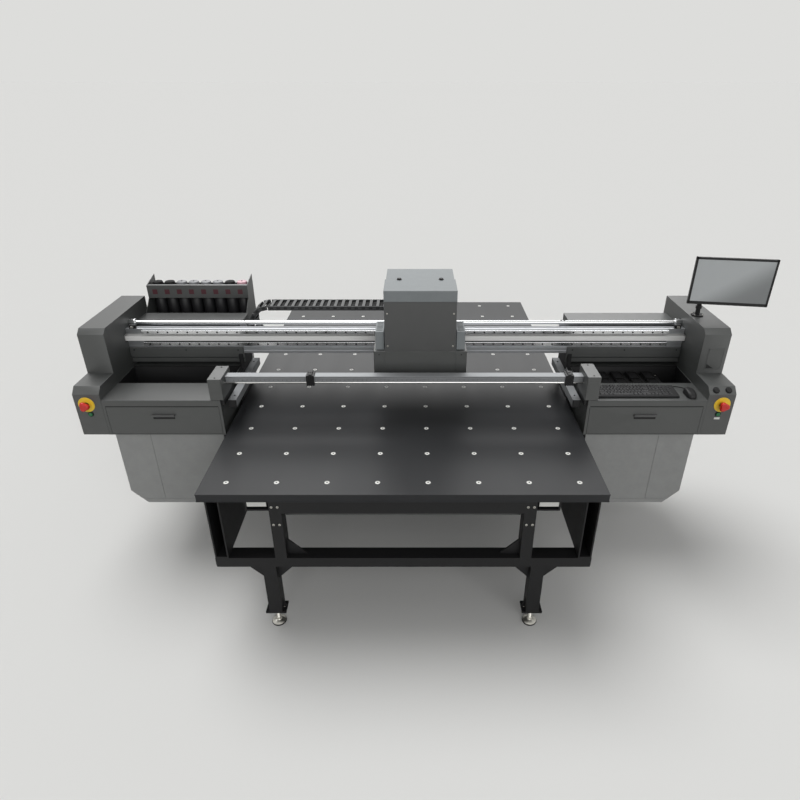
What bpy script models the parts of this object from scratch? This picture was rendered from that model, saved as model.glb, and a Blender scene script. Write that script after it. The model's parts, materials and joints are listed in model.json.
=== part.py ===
"""Flatbed UV printer: a fixed bed on a steel base, and a gantry that travels along it.

Metres. X runs across the bed, Y from the front of the machine to its back, Z up. The
pieces are laid out about the middle of the bed, on the floor, and one empty then moves
the whole machine so that the origin is under the middle of its outer box.
"""

import math

import bmesh
import bpy
from mathutils import Matrix, Vector

# Gaps
TOUCH = 0.0003  # between two pieces that lie against each other
RUN = 0.0008  # beside a piece that slides or turns in another
SHEET = 0.004  # folded sheet metal of the covers
BELT_STEPS = 10  # flats on each half turn of a belt

# Bed and base
BED_WIDTH = 2.0
BED_LENGTH = 2.8
BED_THICK = 0.045
BED_TOP = 0.92
PLENUM_HALF_WIDTH = 0.60
PLENUM_DEPTH = 0.16
PLENUM_WALL = 0.012
SUCTION_PORT = 0.12
END_FRAME_SETBACK = 0.02  # from the bed's end to the outer face of an end frame
TUBE = 0.08  # depth of the end frame's square tube
POST_X = 0.63
POST_WIDTH = 0.06
LOWER_CROSS_Z = 0.44
LOWER_CROSS_HEIGHT = 0.06
FRONT_CROSS_HEIGHT = 0.085
REAR_CROSS_Z = 0.72
LEG_X = 0.70
LEG_WIDTH = 0.07
LEG_BOTTOM = 0.10
FOOT_PLATE = (0.11, 0.012)  # width, thickness
FOOT_PAD_RADIUS = 0.04
SIDE_BEAM_X = 0.90
SIDE_BEAM_WIDTH = 0.07
SIDE_BEAM_WALL = 0.008
Y_RAIL = (0.015, 0.024, 0.70)  # proud of the beam, height, bottom

# Drive along the bed
Y_BELT_X = 0.72
Y_BELT_WIDTH = 0.04
Y_ROLLER_RADIUS = 0.020
Y_ROLLER_LENGTH = 0.096
Y_ROLLER_Z = 0.85
Y_BELT_THICK = 0.0017
JOURNAL_RADIUS = 0.006
DRIVE_SHAFT_RADIUS = 0.010
EAR = 0.008

# Gantry
GANTRY_FRONT = -0.765
SIDE_SLOT = 0.03  # from the bed's edge to the cabinets
UPRIGHT_CLEAR = 0.004  # from the bed's edge to an upright
UPRIGHT_Y = (-0.42, -0.10)
UPRIGHT_BOTTOM = 0.40
UPRIGHT_NOTCH = (-0.325, 1.09)  # back and floor of the notch that the carriage passes through
Y_BLOCK_LENGTH = 0.08
Y_BLOCK_HEIGHT = 0.053
TIE_Y = (-0.29, -0.23)
TIE_Z = (0.42, 0.48)
BEAM_Y = (-0.306, -0.200)
BEAM_Z = (1.18, 1.34)
BEAM_FOOT_TOP = 1.255  # the beam is deep below this height and slim above it
BEAM_NECK = 0.044
BEAM_WALL = 0.009
BELT_CHANNEL = (1.263, 1.307, 0.0048)  # bottom, top, clear behind the belt
RAIL_HEIGHT = 0.020
RAIL_PROUD = 0.018
UPPER_RAIL_Z = 1.323
LOWER_RAIL_Z = 1.246
RAIL_END = 0.10  # from a rail's end to the end housing
X_BELT_WIDTH = 0.030
X_BELT_THICK = 0.0017
X_PULLEY_RADIUS = 0.018
X_BELT_FRONT = -0.3255  # inner face of the run in front
X_BELT_Z = 1.285
PULLEY_SHELF_Z = 1.245
PULLEY_SHELF = 0.008
MOTOR_SIZE = (0.08, 0.08, 0.115)
ROD_RADIUS = 0.0125
ROD_Y = -0.235
ROD_Z = 1.354
COLLAR_RADIUS = 0.024
COLLAR_LENGTH = 0.04
CHAIN_SHELF_HALF = 0.98

# Cabinets and end housings
CABINET_WIDTH = 0.67
CABINET_BACK = 0.0
CABINET_BOTTOM = 0.869
SHELF_TOP = 1.092
WELL_Y = (-0.546, -0.312)
WELL_FLOOR = 0.95
TOWER_FRONT = -0.165
TOWER_TOP = 1.33
VENT = (0.30, 0.14)
DRAWER_OPENING = (0.015, 0.875, 1.050)  # side margin, bottom, top
DRAWER_DEPTH = 0.195
HANDLE = (0.13, 0.014, 0.012, 0.992)  # width, reach, thickness, height of its underside
LOWER_BOX_INSET = 0.02
LOWER_BOX_BOTTOM = 0.365
LOWER_BOX_CORNER = 0.09
HOUSING_WIDTH = 0.15
HOUSING_WALL = 0.005
CONSOLE_DEPTH = 0.203
CONSOLE_TOP = 1.165
CONSOLE_CORNER = 0.036
HOUSING_TOP = 1.432
HOUSING_CORNER = (0.033, 0.028)
HOUSING_BACK = 0.043
BELT_WINDOW = (0.0075, 0.008)  # clear of the belt's runs in front, and above and below

# Controls
ESTOP_Z = 1.065
ESTOP_OUT = 0.010  # from the middle of a console outwards
ESTOP_HEAD = (0.030, 0.026)  # radius, length
ESTOP_STEM_RADIUS = 0.008
ESTOP_TRAVEL = 0.006
ESTOP_STANDOFF = 0.014
GREEN_Z = 1.005
GREEN_RADIUS = 0.0125
PUSH_PROUD = 0.008
PUSH_LENGTH = 0.020
BLACK_RADIUS = 0.0145
BLACK_SPACING = 0.07

# Static bar
BLOCK_WIDTH = 0.075
BLOCK_INNER = 1.01
BLOCK_DEPTH = 0.181
BLOCK_TOP = 1.222
BLOCK_RAISE = 0.014  # how much taller the right block is
BAR_Y = (-0.689, -0.638)
BAR_Z = (1.157, 1.204)
BAR_CLAMP = (0.045, 0.008)  # length, how far it stands out all round
BAR_CLAMP_X = (-0.53, 0.93)
SIDE_BAR = 0.045
SIDE_BAR_TOP = 1.066
SIDE_BAR_Y = (-0.71, -0.125)

# Carriage
CARRIAGE_X = 0.09
CARRIAGE_FRONT = -0.578
SLIDE_PLATE_Y = (-0.345, -0.330)
SLIDE_PLATE_HALF = 0.19
SLIDE_PLATE_Z = (1.20, 1.40)
SLIDE_ARM = 0.015
SLIDE_ARM_LEFT = 0.195
SLIDE_ARM_RIGHT = 0.10
SLIDE_BLOCK = (0.07, 0.044)  # length, height
SKIRT_MARGIN = 0.011  # outside the lamps
SKIRT_Z = (1.13, 1.31)
HOOD_HALF = 0.202
HOOD_TOP = 1.665
HOOD_BACK = -0.14
HOOD_BACK_BOTTOM = 1.44
LAMP_WIDTH = 0.048
LAMP_Y = (-0.55, -0.38)
LAMP_Z = (1.136, 1.417)
LAMP_FROM_HOOD = 0.0055
HEAD_PLATE = (1.131, 0.008)  # bottom, thickness
HEAD_SIZE = (0.036, 0.080, 0.074)
HEAD_DROP = 0.005
HEAD_GRID = (4, 2)
HEAD_PITCH = (0.095, 0.105)

# Energy chain
CHAIN_Y = (-0.09, 0.046)
CHAIN_THICK = 0.028
CHAIN_RADIUS = 0.106  # of the middle of its bend
CHAIN_LEFT = -1.0
CHAIN_FIXED_END = 0.0
CHAIN_LOWER_Z = 1.166

# Capping station
CAPPING_FROM_CABINET = 0.33  # its middle, from the inner wall of the cabinet
CAPPING_SIZE = (0.43, 0.21)
CAPPING_BASE = 0.09
CAP_SIZE = (0.060, 0.085, 0.0247)

# Ink supply
RACK_FROM_CABINET = 0.01  # its inner side, from the inner wall of the cabinet
RACK_BACK = 0.24
RACK_FLOOR = 1.19
RACK_TOP = 1.484
RACK_CHEEK_TOP = 1.52
RACK_FLANGE_Y = 0.093
RACK_FLANGE_BOTTOM = 1.40
BOTTLES = 8
BOTTLE_PITCH = 0.08
BOTTLE_RADIUS = 0.037
BOTTLE_Y = 0.165
BOTTLE_SHOULDER = 1.43
BOTTLE_CAP = (0.033, 1.456, 1.500)  # radius, bottom, top
BOTTLE_TRAY = (0.66, 0.09, 0.010)

# Screen, keyboard and mouse
POLE_FROM_WALL = 0.045  # from the inner wall of the housing
POLE_Y = -0.32
POLE_RADIUS = 0.013
POLE_FLANGE = (0.035, 0.008)
SCREEN_SIZE = (0.436, 0.028, 0.272)
SCREEN_PLACE = (0.117, -0.395, 1.660)  # its middle; the first is from the pole
SCREEN_YAW = math.radians(-9)
ARM_HEIGHT = 0.026
ARM_BEHIND = 0.034  # from the back of the screen to the middle of the arm
BOSS = 0.004
KEYBOARD = (0.458, 0.128, 0.022)
KEYBOARD_CENTRE = (1.322, -0.671)
MOUSE = (0.060, 0.108, 0.034)
MOUSE_CENTRE = (1.622, -0.698)
MOUSE_CORD_RADIUS = 0.0018
GROMMET = (1.457, -0.5925, 0.0045)
MOUSE_CORD = [
    (1.622, -0.6437, 1.1010),
    (1.622, -0.632, 1.1000),
    (1.6195, -0.621, 1.0965),
    (1.612, -0.611, 1.0945),
    (1.600, -0.603, 1.0942),
    (1.583, -0.5975, 1.0942),
    (1.563, -0.5945, 1.0942),
    (1.542, -0.5935, 1.0942),
    (1.522, -0.5935, 1.0942),
    (1.502, -0.5935, 1.0945),
    (1.486, -0.593, 1.0975),
    (1.474, -0.5928, 1.1010),
    (1.464, -0.5925, 1.1000),
    (1.4585, -0.5925, 1.0935),
    (1.457, -0.5925, 1.0850),
    (1.457, -0.5925, 1.0720),
]

# Places worked out from the sizes above
BED_EDGE = BED_WIDTH / 2
BED_UNDER = BED_TOP - BED_THICK
BED_END = BED_LENGTH / 2
END_FRAME_OUTER = BED_END - END_FRAME_SETBACK
END_FRAME_INNER = END_FRAME_OUTER - TUBE
ROLLER_Y = (END_FRAME_OUTER + END_FRAME_INNER) / 2
SIDE_BEAM_OUTER = SIDE_BEAM_X + SIDE_BEAM_WIDTH
CABINET_INNER = BED_EDGE + SIDE_SLOT
CABINET_OUTER = CABINET_INNER + CABINET_WIDTH - TOUCH
HOUSING_INNER = CABINET_INNER + CABINET_WIDTH
HOUSING_OUTER = HOUSING_INNER + HOUSING_WIDTH
UPRIGHT_INNER = BED_EDGE + UPRIGHT_CLEAR
PULLEY_X = HOUSING_INNER + HOUSING_WIDTH / 2
CARRIAGE_BACK = SLIDE_PLATE_Y[0] - TOUCH
RACK_X = (TOUCH - HOUSING_INNER, -(CABINET_INNER + RACK_FROM_CABINET))
POLE_X = HOUSING_INNER + POLE_FROM_WALL
SCREEN_CENTRE = (POLE_X + SCREEN_PLACE[0], *SCREEN_PLACE[1:])
X_PULLEY_Y = X_BELT_FRONT + X_PULLEY_RADIUS
BELT_CHANNEL_BACK = X_PULLEY_Y + X_PULLEY_RADIUS + X_BELT_THICK + BELT_CHANNEL[2]
SKIRT_HALF = HOOD_HALF + LAMP_FROM_HOOD + LAMP_WIDTH + SKIRT_MARGIN
CAPPING_X = CABINET_INNER + CAPPING_FROM_CABINET

palette = {}


def paint(name, colour, roughness, metallic=0.0):
    """One Principled material for each finish."""
    material = bpy.data.materials.new(name)
    material.use_nodes = True
    shader = material.node_tree.nodes["Principled BSDF"]
    shader.inputs["Base Color"].default_value = (*colour, 1.0)
    shader.inputs["Roughness"].default_value = roughness
    shader.inputs["Metallic"].default_value = metallic
    palette[name] = material


def mix_paints():
    paint("black_powder_coat", (0.012, 0.012, 0.013), 0.55)
    paint("dark_grey_paint", (0.055, 0.056, 0.060), 0.45)
    paint("light_grey_paint", (0.16, 0.16, 0.17), 0.45)
    paint("black_anodised_bed", (0.016, 0.016, 0.018), 0.42, 0.3)
    paint("bright_aluminium", (0.75, 0.75, 0.77), 0.30, 1.0)
    paint("bright_steel", (0.62, 0.63, 0.65), 0.22, 1.0)
    paint("black_plastic", (0.010, 0.010, 0.011), 0.50)
    paint("belt_rubber", (0.02, 0.02, 0.02), 0.70)
    paint("red_plastic", (0.55, 0.02, 0.015), 0.35)
    paint("green_plastic", (0.02, 0.30, 0.10), 0.35)
    paint("screen_glass", (0.12, 0.13, 0.14), 0.15)


def clear_scene():
    for old in list(bpy.data.objects):
        bpy.data.objects.remove(old, do_unlink=True)


def group(name, parent=None, at=(0.0, 0.0, 0.0)):
    """An empty that carries the pieces of one moving body; at is its place in the machine."""
    empty = bpy.data.objects.new(name, None)
    bpy.context.scene.collection.objects.link(empty)
    hang(empty, parent, at)
    return empty


def machine_place(obj):
    place = Vector()
    while obj:
        place += obj.location
        obj = obj.parent
    return place


def hang(obj, parent, at):
    obj.parent = parent
    obj.location = Vector(at) - (machine_place(parent) if parent else Vector())


def add(name, mesh, finish, parent, origin=None):
    """Makes an object from a bmesh drawn in machine coordinates, with its origin at origin."""
    origin = machine_place(parent) if origin is None else Vector(origin)
    bmesh.ops.recalc_face_normals(mesh, faces=mesh.faces)
    bmesh.ops.translate(mesh, verts=mesh.verts, vec=-origin)
    data = bpy.data.meshes.new(name)
    mesh.to_mesh(data)
    mesh.free()
    obj = bpy.data.objects.new(name, data)
    bpy.context.scene.collection.objects.link(obj)
    hang(obj, parent, origin)
    if finish:
        data.materials.append(palette[finish])
    return obj


def helper(name, mesh, parent):
    """A cutting or joining shape, which isn't a piece of the machine."""
    obj = add(name, mesh, None, parent)
    obj.hide_render = True
    obj.display_type = "WIRE"
    return obj


def boolean(obj, mesh, operation):
    other = helper(f"{obj.name}_{operation.lower()}_{len(obj.modifiers)}", mesh, obj.parent)
    modifier = obj.modifiers.new(other.name, "BOOLEAN")
    modifier.operation = operation
    modifier.solver = "EXACT"
    modifier.object = other


def cut(obj, *shapes):
    for shape in shapes:
        boolean(obj, shape, "DIFFERENCE")


def weld(obj, *shapes):
    for shape in shapes:
        boolean(obj, shape, "UNION")


def block(x, y, z):
    """A box between two values along each axis, given in either order."""
    mesh = bmesh.new()
    bmesh.ops.create_cube(mesh, size=1.0)
    for vert in mesh.verts:
        for axis, (a, b) in enumerate((x, y, z)):
            low, high = min(a, b), max(a, b)
            vert.co[axis] = low if vert.co[axis] < 0 else high
    return mesh


def prism(outline, low, high, axis):
    """An outline pushed along an axis. Its points are (y, z), (x, z) or (x, y)."""
    mesh = bmesh.new()
    verts = []
    for a, b in outline:
        point = [a, b]
        point.insert(axis, low)
        verts.append(mesh.verts.new(point))
    mesh.faces.new(verts)
    pushed = bmesh.ops.extrude_face_region(mesh, geom=mesh.faces[:])
    top = [item for item in pushed["geom"] if isinstance(item, bmesh.types.BMVert)]
    step = Vector()
    step[axis] = high - low
    bmesh.ops.translate(mesh, verts=top, vec=step)
    return mesh


def turned(profile, centre, axis, sides=20):
    """Rings of (distance along the axis, radius) about a line through centre, capped at both ends."""
    turn = {
        "X": Matrix.Rotation(math.pi / 2, 3, "Y"),
        "Y": Matrix.Rotation(-math.pi / 2, 3, "X"),
        "Z": Matrix.Identity(3),
    }
    matrix = turn[axis] if isinstance(axis, str) else Vector((0, 0, 1)).rotation_difference(
        Vector(axis)
    ).to_matrix()
    mesh = bmesh.new()
    rings = []
    for along, radius in profile:
        ring = []
        for n in range(sides):
            angle = 2 * math.pi * n / sides
            point = Vector((radius * math.cos(angle), radius * math.sin(angle), along))
            ring.append(mesh.verts.new(Vector(centre) + matrix @ point))
        rings.append(ring)
    for lower, upper in zip(rings, rings[1:]):
        for n in range(sides):
            m = (n + 1) % sides
            mesh.faces.new((lower[n], lower[m], upper[m], upper[n]))
    mesh.faces.new(rings[0][::-1])
    mesh.faces.new(rings[-1])
    return mesh


def loop_band(half_span, centre, inner, outer, low, high, axis, steps=BELT_STEPS):
    """A belt round two equal pulleys: a long ring pushed along the axis of the pulleys."""
    rims = []
    for radius in (inner, outer):
        rim = []
        for side in (1, -1):
            for n in range(steps + 1):
                angle = math.pi * n / steps - math.pi / 2 + (0 if side > 0 else math.pi)
                along = centre[0] + side * half_span + radius * math.cos(angle)
                rim.append((along, centre[1] + radius * math.sin(angle)))
        rims.append(rim)
    mesh = bmesh.new()
    levels = []
    for level in (low, high):
        for rim in rims:
            ring = []
            for a, b in rim:
                point = [a, b]
                point.insert(axis, level)
                ring.append(mesh.verts.new(point))
            levels.append(ring)
    inner_low, outer_low, inner_high, outer_high = levels
    count = len(inner_low)
    for n in range(count):
        m = (n + 1) % count
        mesh.faces.new((inner_low[n], inner_low[m], outer_low[m], outer_low[n]))
        mesh.faces.new((inner_high[m], inner_high[n], outer_high[n], outer_high[m]))
        mesh.faces.new((inner_low[m], inner_low[n], inner_high[n], inner_high[m]))
        mesh.faces.new((outer_low[n], outer_low[m], outer_high[m], outer_high[n]))
    return mesh


def belt_inside(radius):
    """The inner radius of a belt whose flats clear a wheel of this radius."""
    return (radius + TOUCH) / math.cos(math.pi / 2 / BELT_STEPS)


def smooth(obj):
    obj.data.shade_smooth()
    obj.data.set_sharp_from_angle(angle=math.radians(35))


def side_name(side):
    return "left" if side < 0 else "right"


# Bed and base


def make_bed(base):
    add(
        "bed",
        block((-BED_EDGE, BED_EDGE), (-BED_END, BED_END), (BED_UNDER, BED_TOP)),
        "black_anodised_bed",
        base,
    )
    x, y = PLENUM_HALF_WIDTH, END_FRAME_INNER - TOUCH
    top = BED_UNDER - TOUCH
    bottom = top - PLENUM_DEPTH
    tray = add("vacuum_plenum", block((-x, x), (-y, y), (bottom, top)), "dark_grey_paint", base)
    wall = PLENUM_WALL
    cut(
        tray,
        block((wall - x, x - wall), (wall - y, y - wall), (bottom + wall, top + wall)),
        turned([(-wall, SUCTION_PORT / 2), (2 * wall, SUCTION_PORT / 2)], (0, 0.4, bottom), "Z"),
    )


def roller_seat(frame, side, y):
    """The bracket outside a post that holds the outer end of a belt roller's axle."""
    post_face = POST_X + POST_WIDTH / 2
    ear = Y_BELT_X + Y_ROLLER_LENGTH / 2 + RUN
    low = Y_ROLLER_Z - Y_ROLLER_RADIUS - 0.03
    depth = TUBE / 2 - 0.01
    weld(
        frame,
        block(
            (side * (post_face - EAR), side * (ear + EAR)), (y - depth, y + depth), (low, low + EAR)
        ),
        block((side * ear, side * (ear + EAR)), (y - depth, y + depth), (low, BED_UNDER - EAR)),
    )


def make_end_frame(name, base, end, cross_z, cross_height, bore):
    """A welded frame at one end: legs, lower cross tube, posts and upper cross tube."""
    y = (end * END_FRAME_INNER, end * END_FRAME_OUTER)
    top = BED_UNDER - TOUCH
    lower_top = LOWER_CROSS_Z + LOWER_CROSS_HEIGHT
    frame = add(
        name,
        block((-SIDE_BEAM_OUTER, SIDE_BEAM_OUTER), y, (LOWER_CROSS_Z, lower_top)),
        "black_powder_coat",
        base,
    )
    weld(frame, block((-POST_X, POST_X), y, (cross_z, cross_z + cross_height)))
    for side in (-1, 1):
        post = [side * (POST_X + n * POST_WIDTH / 2) for n in (-1, 1)]
        leg = [side * (LEG_X + n * LEG_WIDTH / 2) for n in (-1, 1)]
        plate = [side * (LEG_X + n * FOOT_PLATE[0] / 2) for n in (-1, 1)]
        weld(
            frame,
            block(post, y, (LOWER_CROSS_Z + 0.01, top)),
            block(leg, y, (LEG_BOTTOM, LOWER_CROSS_Z + 0.01)),
            block(plate, y, (LEG_BOTTOM, LEG_BOTTOM + FOOT_PLATE[1])),
        )
        roller_seat(frame, side, end * ROLLER_Y)
    reach = Y_BELT_X + Y_ROLLER_LENGTH
    hole = [(-reach, bore + RUN), (reach, bore + RUN)]
    cut(frame, turned(hole, (0, end * ROLLER_Y, Y_ROLLER_Z), "X", 16))


def make_side_beams(base):
    proud, height, bottom = Y_RAIL
    lower_top = LOWER_CROSS_Z + LOWER_CROSS_HEIGHT
    for side in (-1, 1):
        beam = add(
            f"side_rail_beam_{side_name(side)}",
            block(
                (side * SIDE_BEAM_X, side * SIDE_BEAM_OUTER),
                (-END_FRAME_OUTER, END_FRAME_OUTER),
                (lower_top + TOUCH, BED_UNDER - TOUCH),
            ),
            "black_powder_coat",
            base,
        )
        weld(
            beam,
            block(
                (side * (SIDE_BEAM_OUTER - SIDE_BEAM_WALL / 2), side * (SIDE_BEAM_OUTER + proud)),
                (-END_FRAME_INNER, END_FRAME_INNER),
                (bottom, bottom + height),
            ),
        )
        wall = SIDE_BEAM_WALL
        cut(
            beam,
            block(
                (side * (SIDE_BEAM_X + wall), side * (SIDE_BEAM_OUTER - wall)),
                (-BED_END, BED_END),
                (lower_top + TOUCH + wall, BED_UNDER - TOUCH - wall),
            ),
        )


def make_feet(base):
    nut = 0.015
    profile = [
        (0.0, FOOT_PAD_RADIUS),
        (0.010, FOOT_PAD_RADIUS),
        (0.020, nut),
        (0.032, nut),
        (0.032, 0.010),
        (LEG_BOTTOM - nut, 0.010),
        (LEG_BOTTOM - nut, nut),
        (LEG_BOTTOM - TOUCH, nut),
    ]
    for end, end_name in ((-1, "front"), (1, "rear")):
        for side in (-1, 1):
            place = (side * LEG_X, end * ROLLER_Y, 0)
            foot = add(
                f"levelling_foot_{end_name}_{side_name(side)}",
                turned(profile, place, "Z"),
                "bright_steel",
                base,
                place,
            )
            smooth(foot)


def make_bed_drive(base):
    """Two belts under the bed, free rollers in front and one driven shaft behind."""
    inner = belt_inside(Y_ROLLER_RADIUS)
    half = Y_ROLLER_LENGTH / 2
    for side in (-1, 1):
        x = side * Y_BELT_X
        belt = loop_band(
            ROLLER_Y,
            (0.0, Y_ROLLER_Z),
            inner,
            inner + Y_BELT_THICK,
            x - Y_BELT_WIDTH / 2,
            x + Y_BELT_WIDTH / 2,
            0,
        )
        add(f"bed_drive_belt_{side_name(side)}", belt, "belt_rubber", base)
        place = (x, -ROLLER_Y, Y_ROLLER_Z)
        body = group(f"belt_roller_{side_name(side)}_body", base, place)
        end = half + RUN + EAR
        profile = [
            (-end, JOURNAL_RADIUS),
            (-half, JOURNAL_RADIUS),
            (-half, Y_ROLLER_RADIUS),
            (half, Y_ROLLER_RADIUS),
            (half, JOURNAL_RADIUS),
            (end, JOURNAL_RADIUS),
        ]
        roller = turned(profile, place, "X")
        smooth(add(f"belt_roller_{side_name(side)}", roller, "bright_steel", body))
    place = (0, ROLLER_Y, Y_ROLLER_Z)
    body = group("drive_shaft_body", base, place)
    wheel = (Y_BELT_X - half, Y_BELT_X + half)
    end = wheel[1] + RUN + EAR
    profile = [(-end, DRIVE_SHAFT_RADIUS)]
    for low, high in ((-wheel[1], -wheel[0]), wheel):
        profile += [
            (low, DRIVE_SHAFT_RADIUS),
            (low, Y_ROLLER_RADIUS),
            (high, Y_ROLLER_RADIUS),
            (high, DRIVE_SHAFT_RADIUS),
        ]
    profile.append((end, DRIVE_SHAFT_RADIUS))
    smooth(add("rear_drive_shaft", turned(profile, place, "X"), "bright_steel", body))


# Gantry frame


def make_uprights(gantry):
    proud, rail_height, rail_bottom = Y_RAIL
    rail_middle = rail_bottom + rail_height / 2
    front, back = UPRIGHT_Y
    top = BEAM_Z[0] - TOUCH
    notch_back, notch_floor = UPRIGHT_NOTCH
    outline = [
        (front, UPRIGHT_BOTTOM),
        (back, UPRIGHT_BOTTOM),
        (back, top),
        (notch_back, top),
        (notch_back, notch_floor),
        (front, notch_floor),
    ]
    for side in (-1, 1):
        plate = add(
            f"gantry_upright_{side_name(side)}",
            prism(outline, side * UPRIGHT_INNER, side * (CABINET_INNER - TOUCH), 0),
            "dark_grey_paint",
            gantry,
        )
        face = SIDE_BEAM_OUTER + 0.003
        for y in (UPRIGHT_Y[0] + 0.02, UPRIGHT_Y[1] - 0.02 - Y_BLOCK_LENGTH):
            weld(
                plate,
                block(
                    (side * face, side * (UPRIGHT_INNER + 0.005)),
                    (y, y + Y_BLOCK_LENGTH),
                    (rail_middle - Y_BLOCK_HEIGHT / 2, rail_middle + Y_BLOCK_HEIGHT / 2),
                ),
            )
        cut(
            plate,
            block(
                (side * (face - 0.01), side * (SIDE_BEAM_OUTER + proud + RUN)),
                (UPRIGHT_Y[0] - 0.01, UPRIGHT_Y[1] + 0.01),
                (rail_bottom - RUN, rail_bottom + rail_height + RUN),
            ),
        )


def make_lower_tie(gantry):
    x = UPRIGHT_INNER - TOUCH
    tie = add("gantry_lower_tie", block((-x, x), TIE_Y, TIE_Z), "black_powder_coat", gantry)
    belt_under = Y_ROLLER_Z - belt_inside(Y_ROLLER_RADIUS) - Y_BELT_THICK
    for side in (-1, 1):
        half = Y_BELT_WIDTH / 2
        weld(
            tie,
            block(
                (side * (Y_BELT_X - half), side * (Y_BELT_X + half)),
                (TIE_Y[0] + 0.01, TIE_Y[1] - 0.01),
                (TIE_Z[1] - 0.01, belt_under - TOUCH),
            ),
        )


def make_beam(gantry):
    front, back = BEAM_Y
    low, high = BELT_CHANNEL[:2]
    neck = front + BEAM_NECK
    outline = [
        (front, BEAM_Z[0]),
        (back, BEAM_Z[0]),
        (back, BEAM_FOOT_TOP),
        (neck, BEAM_FOOT_TOP),
        (neck, BEAM_Z[1]),
        (front, BEAM_Z[1]),
        (front, high),
        (BELT_CHANNEL_BACK, high),
        (BELT_CHANNEL_BACK, low),
        (front, low),
    ]
    x = HOUSING_INNER - TOUCH
    beam = add("cross_beam", prism(outline, -x, x, 0), "bright_aluminium", gantry)
    # An angle under the back edge carries the energy chain
    shelf_top = CHAIN_LOWER_Z - TOUCH
    shelf_x = (-CHAIN_SHELF_HALF, CHAIN_SHELF_HALF)
    weld(
        beam,
        block(shelf_x, (back - SHEET, CHAIN_Y[1] + SHEET), (shelf_top - SHEET, shelf_top)),
        block(shelf_x, (back - SHEET, back + SHEET), (shelf_top - SHEET, BEAM_Z[0] + 0.02)),
    )
    # Two hollow chambers that run the whole length, as in an extrusion
    wall = BEAM_WALL
    cut(
        beam,
        block((-2, 2), (front + wall, back - wall), (BEAM_Z[0] + wall, BEAM_FOOT_TOP - wall)),
        block((-2, 2), (front + wall, neck - wall), (high + wall, BEAM_Z[1] - wall)),
    )
    end = HOUSING_INNER - RAIL_END
    for name, middle in (("upper", UPPER_RAIL_Z), ("lower", LOWER_RAIL_Z)):
        add(
            f"carriage_rail_{name}",
            block(
                (-end, end),
                (front - RAIL_PROUD, front - TOUCH),
                (middle - RAIL_HEIGHT / 2, middle + RAIL_HEIGHT / 2),
            ),
            "bright_steel",
            gantry,
        )


def make_rear_rod(gantry):
    end = HOUSING_INNER - TOUCH
    profile = [
        (-end, COLLAR_RADIUS),
        (-end + COLLAR_LENGTH, COLLAR_RADIUS),
        (-end + COLLAR_LENGTH, ROD_RADIUS),
        (end - COLLAR_LENGTH, ROD_RADIUS),
        (end - COLLAR_LENGTH, COLLAR_RADIUS),
        (end, COLLAR_RADIUS),
    ]
    rod = add("rear_rod", turned(profile, (0, ROD_Y, ROD_Z), "X"), "bright_steel", gantry)
    smooth(rod)


def make_carriage_drive(gantry):
    inner = belt_inside(X_PULLEY_RADIUS)
    add(
        "carriage_belt",
        loop_band(
            PULLEY_X,
            (0.0, X_PULLEY_Y),
            inner,
            inner + X_BELT_THICK,
            X_BELT_Z - X_BELT_WIDTH / 2,
            X_BELT_Z + X_BELT_WIDTH / 2,
            2,
        ),
        "belt_rubber",
        gantry,
    )
    flange = X_PULLEY_RADIUS + 0.004
    half = X_BELT_WIDTH / 2 + 0.002
    motor_top = PULLEY_SHELF_Z - TOUCH
    shaft_end = motor_top - 0.02 - X_BELT_Z
    for side, name in ((-1, "idler_pulley"), (1, "drive_pulley")):
        place = (side * PULLEY_X, X_PULLEY_Y, X_BELT_Z)
        body = group(f"{name}_body", gantry, place)
        profile = [
            (shaft_end, JOURNAL_RADIUS),
            (-half - 0.002, JOURNAL_RADIUS),
            (-half - 0.002, flange),
            (-half, flange),
            (-half, X_PULLEY_RADIUS),
            (half, X_PULLEY_RADIUS),
            (half, flange),
            (half + 0.002, flange),
        ]
        smooth(add(name, turned(profile, place, "Z"), "bright_aluminium", body))
    width, depth, height = MOTOR_SIZE
    motor = add(
        "carriage_motor",
        block(
            (PULLEY_X - width / 2, PULLEY_X + width / 2),
            (X_PULLEY_Y - depth / 2, X_PULLEY_Y + depth / 2),
            (motor_top - height, motor_top),
        ),
        "black_plastic",
        gantry,
    )
    bore = [(-0.03, JOURNAL_RADIUS + RUN), (0.01, JOURNAL_RADIUS + RUN)]
    cut(motor, turned(bore, (PULLEY_X, X_PULLEY_Y, motor_top), "Z", 16))


# Covers


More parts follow.
